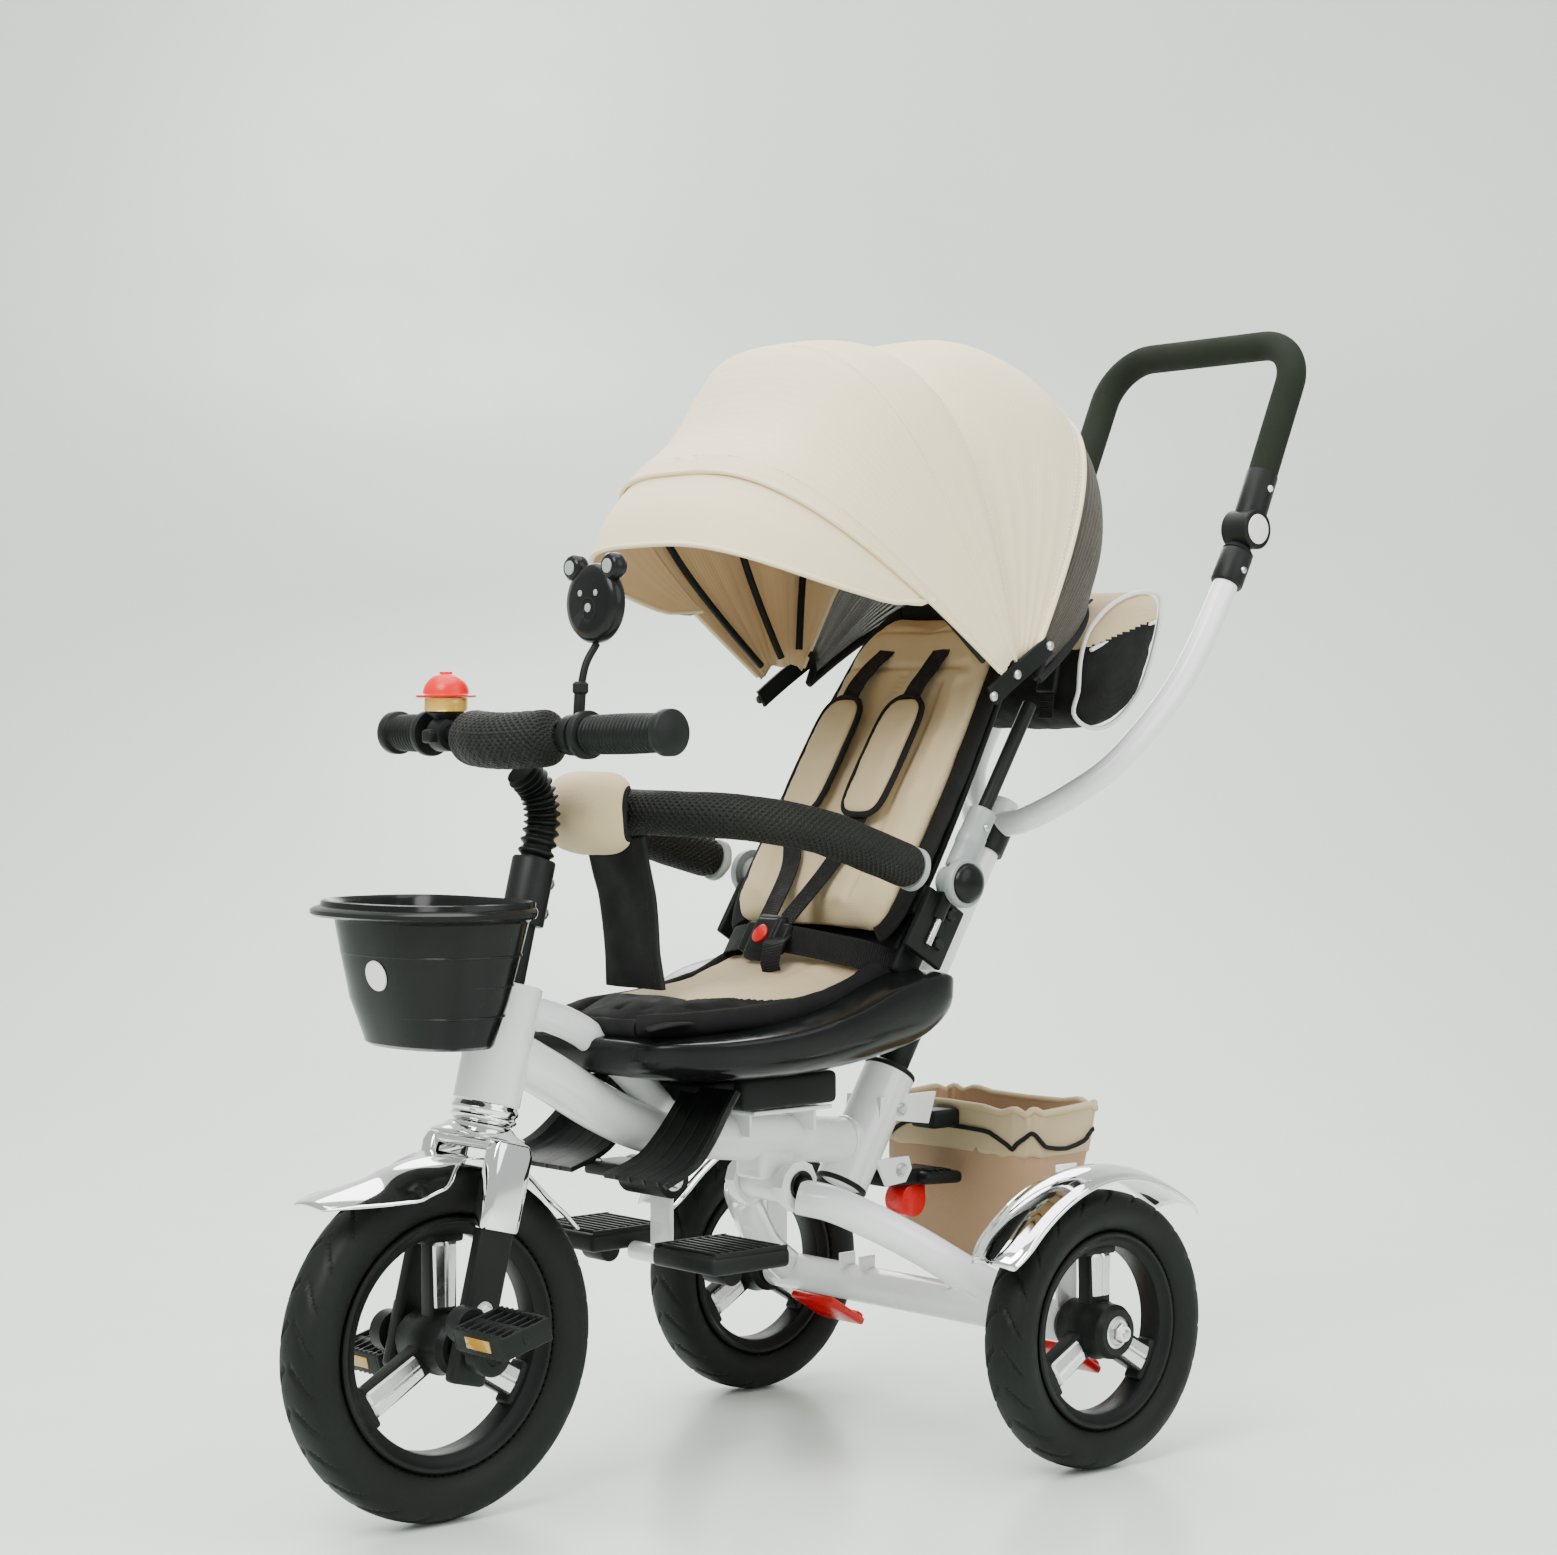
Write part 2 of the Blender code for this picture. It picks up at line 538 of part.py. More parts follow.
def make_push_tubes():
    post = rod(POST_FOOT + LEAN * 0.006, POST_FOOT + LEAN * 0.416, 0.0142, 16)
    pieces = []
    for side in (-1, 1):
        route = [(side * 0.008, 0.108, 0.572), (side * 0.034, 0.117, 0.578), (side * 0.065, 0.145, 0.600),
                 (side * 0.096, 0.180, 0.634), (side * 0.114, 0.232, 0.692), (side * 0.122, 0.265, 0.740),
                 (side * 0.126, 0.303, 0.805), (side * 0.126, 0.322, 0.838)]
        pieces.append(tube(route, 0.0125, 10, 2))
    pieces.append(rod(POST_FOOT + LEAN * 0.365, POST_FOOT + LEAN * 0.410, 0.0165, 16))
    finish(combine(post, pieces), "push_tubes", "frame", WHITE)


def make_post_bush():
    ring = [(0.0192, 0.122), (0.0192, 0.006), (0.0146, 0.006), (0.0146, 0.122)]
    liner = turned(ring, POST_FOOT, LEAN, 20)
    lip = [(0.0258, 0.1205), (0.0258, 0.1176), (0.0150, 0.1176), (0.0150, 0.1205)]
    finish(combine(liner, [turned(lip, POST_FOOT, LEAN, 20)]), "post_bush", "frame", BLACK)


def make_handle_hoop():
    lean = Vector((0, 0.088, 0.195)).normalized()
    left, right = mirrored(HOOP, 1), mirrored(HOOP, -1)
    top = 0.213
    route = [right + lean * 0.015, right + lean * 0.12, right + lean * (top - 0.050)]
    for i in range(1, 4):
        turn = math.radians(22.5 * i)
        route.append(right + lean * (top - 0.050 + 0.050 * math.sin(turn))
                     + Vector((0.050 * (1 - math.cos(turn)), 0, 0)))
    route += [right + lean * top + Vector((0.050, 0, 0))]
    route += [mirrored(point, -1) for point in route[::-1]]
    bow = tube(route, 0.0150, 10, 2)
    pieces = []
    for end in (left, right):
        pieces.append(rod(end - Vector((0.016, 0, 0)), end + Vector((0.016, 0, 0)), 0.0200, 18))
        pieces.append(rod(end, end + lean * 0.062, 0.0160, 12))
    finish(combine(bow, pieces), "handle_hoop", "hoop", FOAM)


def make_hoop_sleeves():
    """The sleeve on each push tube ends in a fork-shaped cup below the tilting knuckle."""
    for side, word in ((1, "left"), (-1, "right")):
        low = Vector((side * 0.126, 0.3235, 0.8405))
        high = Vector((side * 0.126, 0.3268, 0.8462))
        finish(rod(low, high, 0.0160, 14, 0.0120), "hoop_sleeve_" + word, "frame", BLACK)


def seat_ring(y, half, low, high, crown=0.0):
    """One section of the seat across its width."""
    mid = (low + high) / 2
    return [Vector((-half, y, mid)), Vector((-half * 0.97, y, high)), Vector((-half * 0.5, y, high + crown)),
            Vector((0, y, high + crown)), Vector((half * 0.5, y, high + crown)),
            Vector((half * 0.97, y, high)), Vector((half, y, mid)), Vector((half * 0.86, y, low)),
            Vector((0, y, low)), Vector((-half * 0.86, y, low))]


SEAT_SIDE = [(-0.402, 0.070, 0.378, 0.394), (-0.392, 0.100, 0.366, 0.398), (-0.345, 0.132, 0.358, 0.400),
             (-0.276, 0.147, 0.356, 0.406), (-0.215, 0.153, 0.357, 0.420), (-0.160, 0.155, 0.362, 0.440),
             (-0.115, 0.154, 0.372, 0.448), (-0.092, 0.146, 0.388, 0.444), (-0.086, 0.130, 0.400, 0.430)]


def make_seat():
    shell = loft([seat_ring(*row) for row in SEAT_SIDE])
    dish = loft([seat_ring(y, half - 0.028, 0.392 + lift, 0.470) for y, half, lift in
                 ((-0.385, 0.085, 0.0), (-0.330, 0.128, 0.0), (-0.250, 0.142, 0.0), (-0.160, 0.146, 0.006),
                  (-0.080, 0.148, 0.012))])
    post = rod(POST_FOOT + LEAN * 0.10, POST_FOOT + LEAN * 0.30, 0.0155, 16)
    channel = tube(BRACE_ROUTE, 0.0150, 10, 2)
    finish(combine(shell, [dish, post, channel], "DIFFERENCE"), "seat_shell", "frame", BLACK)
    base = block((0, -0.205, 0.3395), (0.106, 0.116, 0.0325), 0.0, 0.004)
    finish(base, "seat_base", "frame", BLACK)
    cushion = loft([seat_ring(y, half, low, high, crown) for y, half, low, high, crown in
                    ((-0.362, 0.050, 0.402, 0.413, 0.004), (-0.325, 0.084, 0.3945, 0.420, 0.006),
                     (-0.250, 0.094, 0.3945, 0.426, 0.008), (-0.180, 0.097, 0.402, 0.436, 0.010),
                     (-0.142, 0.096, 0.406, 0.444, 0.010))])
    finish(cushion, "seat_cushion", "frame", BEIGE)


def lean_frame(up, out, x=0.0):
    """A point up the seat back from the seat, and out in front of it."""
    front = Vector((0, -LEAN.z, LEAN.y))
    return Vector((x, -0.119, 0.440)) + LEAN * up + front * out


def back_ring(up, half, rear, front):
    """One section across the seat back, between two distances in front of its plane."""
    spots = [(-1, 0.5), (-0.92, 0.12), (0, 0), (0.92, 0.12), (1, 0.5), (0.90, 0.92), (0, 1), (-0.90, 0.92)]
    return [lean_frame(up, rear + (front - rear) * depth, half * across) for across, depth in spots]


def make_backrest():
    shell = loft([back_ring(up, half, 0.012, 0.026) for up, half in
                  ((0.020, 0.108), (0.10, 0.112), (0.22, 0.106), (0.33, 0.094), (0.372, 0.070))])
    ears = [block((side * 0.1125, -0.098, 0.505), (0.021, 0.030, 0.030), -SEAT_LEAN) for side in (-1, 1)]
    finish(combine(shell, ears), "backrest_shell", "frame", BLACK)
    cushion = loft([back_ring(up, half, 0.0265, front) for up, half, front in
                    ((0.022, 0.098, 0.046), (0.060, 0.106, 0.060), (0.15, 0.108, 0.062),
                     (0.25, 0.102, 0.060), (0.33, 0.092, 0.058), (0.376, 0.068, 0.044))])
    finish(cushion, "back_cushion", "frame", BEIGE)


def make_harness():
    for side, word in ((1, "left"), (-1, "right")):
        strap = block(lean_frame(0.225, 0.0665, side * 0.042), (0.024, 0.003, 0.190), -SEAT_LEAN)
        pad = block(lean_frame(0.190, 0.074, side * 0.042), (0.052, 0.013, 0.120), -SEAT_LEAN, 0.004)
        finish(combine(pad, [strap]), "shoulder_pad_" + word, "frame", BEIGE)
    belt = block((0, -0.186, 0.473), (0.200, 0.004, 0.028), -SEAT_LEAN)
    buckle = block((0, -0.186, 0.473), (0.036, 0.014, 0.044), -SEAT_LEAN, 0.004)
    finish(combine(belt, [buckle]), "waist_harness", "frame", WEBBING)


def make_uprights():
    """The pole at each side of the seat back, with its grey bracket and bumper clamp."""
    for side, word in ((1, "left"), (-1, "right")):
        foot = Vector((side * 0.132, -0.1005, 0.493))
        top = foot + LEAN * 0.230
        plate = block(foot + Vector((-side * 0.0035, 0, -0.008)), (0.007, 0.050, 0.060), -SEAT_LEAN, 0.002)
        pole = combine(rod(foot, top, 0.0068, 12), [plate])
        finish(pole, "upright_" + word, "frame", STEEL)
        middle = foot + LEAN * 0.083
        sleeve = rod(middle - LEAN * 0.031, middle + LEAN * 0.031, 0.0130, 16)
        boss = rod(foot + LEAN * 0.039 + Vector((-side * 0.008, 0, 0)),
                   foot + LEAN * 0.039 + Vector((side * 0.012, 0, 0)), 0.0150, 16)
        knob = rod(foot + LEAN * 0.039 + Vector((side * 0.010, 0, 0)),
                   foot + LEAN * 0.039 + Vector((side * 0.028, 0, 0)), 0.0225, 20)
        bracket = combine(sleeve, [boss, knob])
        hole = rod(foot - LEAN * 0.02, top + LEAN * 0.02, 0.0071, 12)
        finish(combine(bracket, [hole], "DIFFERENCE"), "bracket_" + word, "frame", GREY)


def make_bumper():
    """A padded bar between the two clamps, with a cup-shaped pad and a flap at its front."""
    half = [(0.136, -0.136, 0.541), (0.144, -0.187, 0.556), (0.143, -0.255, 0.577),
            (0.124, -0.322, 0.589), (0.080, -0.356, 0.592), (0.030, -0.366, 0.593)]
    route = half + [(-x, y, z) for x, y, z in half[::-1]]
    bar = tube(route, 0.0205, 10, 2)
    pieces = [rod((side * 0.136, -0.137, 0.541), (side * 0.136, -0.1235, 0.537), 0.0120, 12)
              for side in (-1, 1)]
    finish(combine(bar, pieces), "bumper_bar", "bumper", FOAM)
    cup = loft([[Vector((x, -0.3885 - depth * math.sin(a), 0.592 + 0.036 * tall * math.cos(a)))
                 for a in (math.radians(180 * i / 8) for i in range(9))]
                for x, depth, tall in ((-0.046, 0.014, 0.75), (-0.030, 0.030, 0.95), (0, 0.036, 1.0),
                                       (0.030, 0.030, 0.95), (0.046, 0.014, 0.75))])
    finish(cup, "bumper_cup", "bumper", BEIGE)
    flap = loft([[Vector((x, y - 0.004, z)), Vector((x, y + 0.004, z)), Vector((-x, y + 0.004, z)),
                  Vector((-x, y - 0.004, z))] for x, y, z in
                 ((0.040, -0.366, 0.570), (0.036, -0.352, 0.520), (0.036, -0.346, 0.470),
                  (0.040, -0.342, 0.436))])
    finish(flap, "bumper_flap", "bumper", FOAM)


def make_footrest():
    section = ((1, 0, 0), (1, -0.016, 0.004), (0.86, -0.014, 0), (0.82, -0.002, 0), (-0.82, -0.002, 0),
               (-0.86, -0.014, 0), (-1, -0.016, 0.004), (-1, 0, 0), (-0.9, 0.006, 0), (0.9, 0.006, 0))
    plate = loft([[Vector((half * share, y + back, z + lift)) for share, back, lift in section]
                  for y, z, half in ((-0.302, 0.3505, 0.096), (-0.316, 0.332, 0.100), (-0.333, 0.310, 0.106),
                                     (-0.352, 0.292, 0.114), (-0.378, 0.281, 0.122))])
    hinge = rod((-0.030, -0.323, 0.268), (0.030, -0.323, 0.268), 0.0170, 14)
    link = block((0, -0.352, 0.2775), (0.070, 0.044, 0.0130))
    arm = block((0, -0.2862, 0.3430), (0.090, 0.0450, 0.018))
    combine(plate, [hinge, link, arm])
    slots = [tube(DOWN_ROUTE, 0.0220, 12, 2), tube(BRACE_ROUTE, 0.0145, 10, 2)]
    finish(combine(plate, slots, "DIFFERENCE"), "calf_plate", "frame", BLACK)
    bar = block((0, -0.3125, 0.2264), (0.028, 0.006, 0.0504))
    cross = rod((-0.036, -0.315, 0.197), (0.036, -0.315, 0.197), 0.0085, 12)
    ribs = [block((0, -0.315, 0.206), (0.016, 0.012, 0.012))]
    finish(combine(bar, [cross, *ribs]), "foot_bar", "frame", WHITE)
    for side, word in ((1, "left"), (-1, "right")):
        pad = block((side * 0.084, -0.315, 0.2075), (0.086, 0.088, 0.021), 0.0, 0.005)
        boss = rod((side * 0.070, -0.315, 0.193), (side * 0.100, -0.315, 0.193), 0.0110, 12)
        finish(combine(pad, [boss]), "foot_pad_" + word, "foot_pad_" + word, BLACK)


def hood_radius(degrees):
    """How far the canopy's ridge stands from its pivot: puffed between the bows."""
    stations = [(-56, 0.182), (-46, 0.245), (-38, 0.290), (-28, 0.312), (-20, 0.316), (0, 0.318),
                (11, 0.318), (12, 0.331), (20, 0.348), (28, 0.358), (38, 0.352), (51, 0.341), (58, 0.345),
                (67, 0.347)]
    for (a, ra), (b, rb) in zip(stations, stations[1:]):
        if a <= degrees <= b:
            return ra + (rb - ra) * (degrees - a) / (b - a)
    return stations[-1][1]


def hood_point(degrees, share, width, radius, power=2 / 3.1):
    """A point on a bow's arch: share runs from one side, 0, over the ridge to the other, 1."""
    angle = math.pi * share
    x = -width * math.copysign(abs(math.cos(angle)) ** power, math.cos(angle))
    reach = radius * math.sin(angle) ** power
    turn = math.radians(degrees)
    return CANOPY + Vector((x, -reach * math.sin(turn), reach * math.cos(turn)))


def make_hoods():
    columns = [0.012 + 0.976 * k / 14 for k in range(15)]
    rear = [[hood_point(degrees, share, 0.1575, hood_radius(degrees)) for share in columns]
            for degrees in (-56, -46, -38, -28, -16, -3, 10.5)]
    finish(sheet(rear, 0.0045), "canopy_hood_rear", "frame", CREAM)
    front = []
    for i in range(8):
        row = []
        for share in columns:
            side = abs(2 * share - 1)
            visor = 16 * (1 - max(0.0, (side - 0.60) / 0.40)) ** 0.8
            degrees = 12 + (39 + visor) * i / 7
            row.append(hood_point(degrees, share, 0.1660, hood_radius(degrees)))
        front.append(row)
    finish(sheet(front, 0.0045), "canopy_hood_front", "canopy_front", CREAM)


def make_bow(name, body, degrees, width, radius, start=0.020):
    route = [hood_point(degrees, start + (1 - 2 * start) * k / 16, width, radius) for k in range(17)]
    finish(tube(route, 0.0036, 6, 1), name, body, STEEL)


def make_storage_bag():
    outline = [(0.125, 0.700), (0.118, 0.678), (0.140, 0.664), (0.175, 0.668), (0.215, 0.700),
               (0.238, 0.745), (0.2495, 0.790), (0.238, 0.803), (0.205, 0.800), (0.170, 0.786),
               (0.140, 0.760), (0.128, 0.730)]
    middle = Vector((0, 0.185, 0.738))
    rings = []
    for x, shrink in ((-0.104, 0.62), (-0.092, 0.86), (-0.060, 0.96), (0, 1.0), (0.060, 0.96), (0.092, 0.86),
                      (0.104, 0.62)):
        rings.append([middle + (Vector((0, y, z)) - middle) * shrink + Vector((x, 0, 0)) for y, z in outline])
    finish(loft(rings), "storage_bag", "frame", BLACK)


def rear_basket_ring(half, front, rear, z):
    """The basket's plan outline at one height."""
    corners = ((-1, front + 0.012), (-0.88, front), (0, front - 0.003), (0.88, front), (1, front + 0.012),
               (1, rear - 0.012), (0.88, rear), (0, rear + 0.004), (-0.88, rear), (-1, rear - 0.012))
    return [Vector((x * half, y, z)) for x, y in corners]


def make_rear_basket():
    rings = [(0.158, 0.088, 0.048, 0.128), (0.200, 0.094, 0.047, 0.138), (0.260, 0.102, 0.046, 0.150),
             (0.306, 0.106, 0.045, 0.156)]
    body = loft([rear_basket_ring(half, front, rear, z) for z, half, front, rear in rings])
    wall = 0.004
    rises = (wall, 0, 0, 0.02)
    hollow = loft([rear_basket_ring(half - wall, front + wall, rear - wall, z + rise)
                   for (z, half, front, rear), rise in zip(rings, rises)])
    tab = block((0, 0.0280, 0.292), (0.034, 0.036, 0.018))
    combine(body, [tab])
    finish(combine(body, [hollow], "DIFFERENCE"), "rear_basket", "frame", TAN)


make_main_frame()
make_headset()
make_fork()
make_front_fender()
make_stem()
make_handlebar()
make_bell()
make_mirror()
make_front_basket()
make_wheel("front", "", "front_wheel", HUB, FRONT_RADIUS, 0.108, 0.092, 0.034, 0.0073)
for side, word in ((1, "left"), (-1, "right")):
    make_wheel("rear", "_" + word, "rear_wheel_" + word, Vector((side * HALF_TRACK, 0, REAR_RADIUS)),
               REAR_RADIUS, 0.089, 0.075, 0.030, 0.0073)
make_crankset()
make_pedals()
make_rear_fork()
make_rear_fenders()
make_brakes()
make_release_pedal()
make_push_tubes()
make_post_bush()
make_handle_hoop()
make_hoop_sleeves()
make_seat()
make_backrest()
make_harness()
make_uprights()
make_bumper()
make_footrest()
make_hoods()
make_bow("canopy_bow_rear", "frame", -2, 0.1450, 0.304)
make_bow("canopy_bow_mid", "canopy_mid", 30, 0.1420, 0.292)
make_bow("canopy_bow_front", "canopy_front", 50, 0.1530, 0.319)
make_storage_bag()
make_rear_basket()
bpy.context.view_layer.update()
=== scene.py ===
"""The looks of a children's tricycle: paint, chrome, tyres, cloth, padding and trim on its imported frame."""

import math

import bmesh
import bpy
from mathutils import Matrix, Vector, kdtree as kd, noise as waves

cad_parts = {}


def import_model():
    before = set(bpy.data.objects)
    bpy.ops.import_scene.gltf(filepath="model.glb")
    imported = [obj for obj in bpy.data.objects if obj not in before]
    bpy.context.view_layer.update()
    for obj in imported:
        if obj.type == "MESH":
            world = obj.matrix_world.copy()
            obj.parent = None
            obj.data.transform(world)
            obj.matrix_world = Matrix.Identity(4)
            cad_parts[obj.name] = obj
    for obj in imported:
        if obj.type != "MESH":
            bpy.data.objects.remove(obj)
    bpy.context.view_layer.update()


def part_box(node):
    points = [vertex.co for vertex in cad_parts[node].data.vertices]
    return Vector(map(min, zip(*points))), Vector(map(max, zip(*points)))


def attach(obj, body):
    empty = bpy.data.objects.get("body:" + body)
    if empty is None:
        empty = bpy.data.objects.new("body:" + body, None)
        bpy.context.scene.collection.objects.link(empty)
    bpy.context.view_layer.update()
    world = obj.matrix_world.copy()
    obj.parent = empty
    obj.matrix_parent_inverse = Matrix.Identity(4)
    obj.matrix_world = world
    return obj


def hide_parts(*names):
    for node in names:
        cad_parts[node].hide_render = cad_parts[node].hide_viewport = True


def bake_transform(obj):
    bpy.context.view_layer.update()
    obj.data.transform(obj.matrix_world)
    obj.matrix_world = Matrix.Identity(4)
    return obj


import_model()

# The design's own frame starts on the ground under the rear axle, so its y is counted from there.
AXLE_Y = sum(corner.y for corner in map(Vector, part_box("rear_rim_left"))) / 2
HEAD_ANGLE = math.radians(14.04)
SEAT_LEAN = math.radians(31.8)
HUB = Vector((0, -0.555, 0.150))
REAR_HUB = Vector((0.233, 0, 0.125))
STEER = Vector((0, math.sin(HEAD_ANGLE), math.cos(HEAD_ANGLE)))
AHEAD = Vector((0, -STEER.z, STEER.y))
LEAN = Vector((0, math.sin(SEAT_LEAN), math.cos(SEAT_LEAN)))
OUT = Vector((0, -LEAN.z, LEAN.y))
POST_FOOT = Vector((0, -0.095, 0.240))
FOLD = Vector((0, -0.181, 0.250))
CANOPY = Vector((0, -0.020, 0.693))
HOOP = Vector((0.126, 0.336, 0.864))
HOOP_LEAN = Vector((0, 0.411, 0.911)).normalized()
MIRROR = Vector((0.075, -0.446, 0.771))
X = Vector((1, 0, 0))
SIDES = ((1, "left"), (-1, "right"))
VIEW_AZIMUTH = math.radians(48.447)
VIEW_HEIGHT = math.radians(0.7926)


def world(point):
    """A point of the design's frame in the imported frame."""
    return Vector((point[0], point[1] + AXLE_Y, point[2]))


# ---------------------------------------------------------------- materials


class Nodes:
    """Short calls for building one material's node tree."""

    def __init__(self, name):
        self.material = bpy.data.materials.new(name)
        self.material.use_nodes = True
        self.tree = self.material.node_tree
        self.shader = self.tree.nodes["Principled BSDF"]
        place = self.tree.nodes.new("ShaderNodeTexCoord")
        self.object, self.weave = place.outputs["Object"], place.outputs["UV"]

    def set(self, node, socket, value):
        if isinstance(value, bpy.types.NodeSocket):
            self.tree.links.new(value, node.inputs[socket])
        else:
            node.inputs[socket].default_value = value

    def math(self, operation, a, b=0.0, clamp=False):
        node = self.tree.nodes.new("ShaderNodeMath")
        node.operation, node.use_clamp = operation, clamp
        self.set(node, 0, a)
        self.set(node, 1, b)
        return node.outputs[0]

    def noise(self, scale, detail=4.0, where=None):
        node = self.tree.nodes.new("ShaderNodeTexNoise")
        self.set(node, "Vector", where or self.object)
        self.set(node, "Scale", scale)
        self.set(node, "Detail", detail)
        return node.outputs["Fac"]

    def spread(self, value, low, high, start=0.3, end=0.7):
        node = self.tree.nodes.new("ShaderNodeMapRange")
        for socket, number in zip(("Value", "From Min", "From Max", "To Min", "To Max"),
                                  (value, start, end, low, high)):
            self.set(node, socket, number)
        return node.outputs[0]

    def mix(self, share, a, b):
        node = self.tree.nodes.new("ShaderNodeMix")
        node.data_type = "RGBA"
        for socket, value in ((0, share), (6, a), (7, b)):
            if isinstance(value, tuple):
                value = (*value, 1.0)
            self.set(node, socket, value)
        return node.outputs[2]

    def ripple(self, axis, period, where=None):
        """A smooth wave from 0 to 1 along one of the two weave directions, with this period in metres."""
        split = self.tree.nodes.new("ShaderNodeSeparateXYZ")
        self.set(split, 0, where or self.weave)
        turns = self.math("MULTIPLY", split.outputs[axis], 2 * math.pi / period)
        return self.math("ADD", self.math("MULTIPLY", self.math("SINE", turns), 0.5), 0.5)

    def bump(self, height, strength, distance, normal=None):
        node = self.tree.nodes.new("ShaderNodeBump")
        self.set(node, "Height", height)
        self.set(node, "Strength", strength)
        self.set(node, "Distance", distance)
        if normal:
            self.set(node, "Normal", normal)
        return node.outputs[0]


def look(name, tones, rough, grain=(700, 0.15), patch=9, metallic=0.0, coat=0.0, edge=0.25, weave=None,
         shine=0.5):
    """One procedural material: two tones in soft patches, uneven roughness, grain and worn edges.

    weave is (pattern, period in metres, depth): plain threads, a diamond mesh or ribs, with painted shade
    darkening the hollows between threads.
    """
    n = Nodes(name)
    wear = n.tree.nodes.new("ShaderNodeNewGeometry").outputs["Pointiness"]
    colour = n.mix(n.spread(n.noise(patch), 0.0, 1.0), *tones)
    light = tuple(min(1.0, c * 1.25 + 0.03) for c in tones[1])
    colour = n.mix(n.math("MULTIPLY", n.spread(wear, 0.0, 1.0, 0.52, 0.60), edge), colour, light)
    normal = n.bump(n.noise(grain[0], 2.0), grain[1], 0.0006)
    roughness = n.spread(n.noise(patch * 4), *rough)
    if weave:
        pattern, period, depth = weave
        across, along = n.ripple(0, period), n.ripple(1, period)
        if pattern == "plain":
            height = n.math("MULTIPLY", across, along)
        elif pattern == "mesh":
            tilt = n.tree.nodes.new("ShaderNodeVectorRotate")
            tilt.rotation_type = "Z_AXIS"
            n.set(tilt, "Vector", n.weave)
            n.set(tilt, "Angle", math.pi / 4)
            height = n.math("MAXIMUM", n.ripple(0, period, tilt.outputs[0]),
                            n.ripple(1, period, tilt.outputs[0]))
        else:
            height = along
        normal = n.bump(height, 1.0, depth, normal)
        # Painted shade: the hollows between threads are coloured darker, standing in for the shadow that
        # falls between them.
        dark = tuple(c * 0.80 for c in tones[0])
        colour = n.mix(n.math("MULTIPLY", n.math("SUBTRACT", 1.0, height), 0.45), colour, dark)
        n.set(n.shader, "Sheen Weight", 0.12 if shine > 0.3 else 0.0)
        n.set(n.shader, "Sheen Roughness", 0.6)
    n.set(n.shader, "Base Color", colour)
    n.set(n.shader, "Roughness", roughness)
    n.set(n.shader, "Metallic", metallic)
    n.set(n.shader, "Specular IOR Level", shine)
    n.set(n.shader, "Coat Weight", coat)
    n.set(n.shader, "Coat Roughness", 0.06)
    n.set(n.shader, "Normal", normal)
    return n


def netting(name, tone, period):
    """Open net cloth: dark threads with clear holes between them."""
    n = look(name, (tone, tone), (0.6, 0.8), weave=("plain", period, 0.0003))
    thread = n.math("MAXIMUM", n.ripple(0, period), n.ripple(1, period))
    n.set(n.shader, "Alpha", n.spread(thread, 0.55, 1.0, 0.50, 0.80))
    return n.material


WHITE = look("white_paint", ((0.83, 0.84, 0.83), (0.89, 0.90, 0.89)), (0.16, 0.28), (260, 0.05), coat=0.6,
             edge=0.1).material
GLOSS = look("gloss_black", ((0.004, 0.005, 0.005), (0.008, 0.009, 0.008)), (0.14, 0.26), (420, 0.06),
             shine=0.15).material
SATIN = look("satin_black", ((0.005, 0.006, 0.005), (0.010, 0.012, 0.011)), (0.32, 0.46), (1300, 0.30),
             shine=0.12).material
MATTE = look("matte_black", ((0.006, 0.007, 0.006), (0.012, 0.014, 0.012)), (0.55, 0.75), (1600, 0.5),
             shine=0.25).material
TYRE = look("tyre_rubber", ((0.006, 0.007, 0.006), (0.012, 0.014, 0.012)), (0.42, 0.58), (900, 0.40),
            edge=0.2, shine=0.13).material
FOAM = look("hoop_foam", ((0.009, 0.012, 0.007), (0.016, 0.020, 0.013)), (0.80, 0.95), (2200, 0.9),
            shine=0.2).material
MESH = look("mesh_sleeve", ((0.005, 0.006, 0.004), (0.012, 0.013, 0.010)), (0.60, 0.80), (1500, 0.4),
            weave=("mesh", 0.0044, 0.0022), shine=0.25).material
CHROME = look("chrome", ((0.78, 0.78, 0.78), (0.84, 0.84, 0.83)), (0.03, 0.08), (60, 0.02), metallic=1.0,
              edge=0.0).material
SILVER = look("silver_cover", ((0.62, 0.63, 0.63), (0.74, 0.74, 0.74)), (0.22, 0.34), (900, 0.12),
              metallic=1.0).material
STEEL = look("zinc_steel", ((0.50, 0.50, 0.49), (0.66, 0.66, 0.65)), (0.22, 0.38), (600, 0.15), 40,
             metallic=1.0).material
GREY = look("grey_plastic", ((0.235, 0.262, 0.252), (0.300, 0.325, 0.312)), (0.30, 0.45),
            (1000, 0.2)).material
RED = look("red_plastic", ((0.60, 0.004, 0.006), (0.72, 0.008, 0.008)), (0.22, 0.34), (600, 0.08),
           edge=0.05, shine=0.3).material
CREAM = look("cream_cloth", ((0.88, 0.73, 0.47), (0.94, 0.80, 0.53)), (0.78, 0.92), (1500, 0.25), 5,
             weave=("plain", 0.0009, 0.00012)).material
# The inner face's orange-tan is the lining as it looks with light shining through the cream cloth: partly its
# own tone, partly painted light passing through.
LIT_LINING = look("tan_lining_lit_through", ((0.74, 0.50, 0.27), (0.84, 0.60, 0.35)), (0.75, 0.90), (1500, 0.25), 5,
              weave=("plain", 0.0009, 0.00012)).material
BEIGE = look("beige_pad", ((0.62, 0.48, 0.27), (0.72, 0.57, 0.34)), (0.78, 0.92), (1700, 0.5), 7,
             weave=("plain", 0.0011, 0.00018)).material
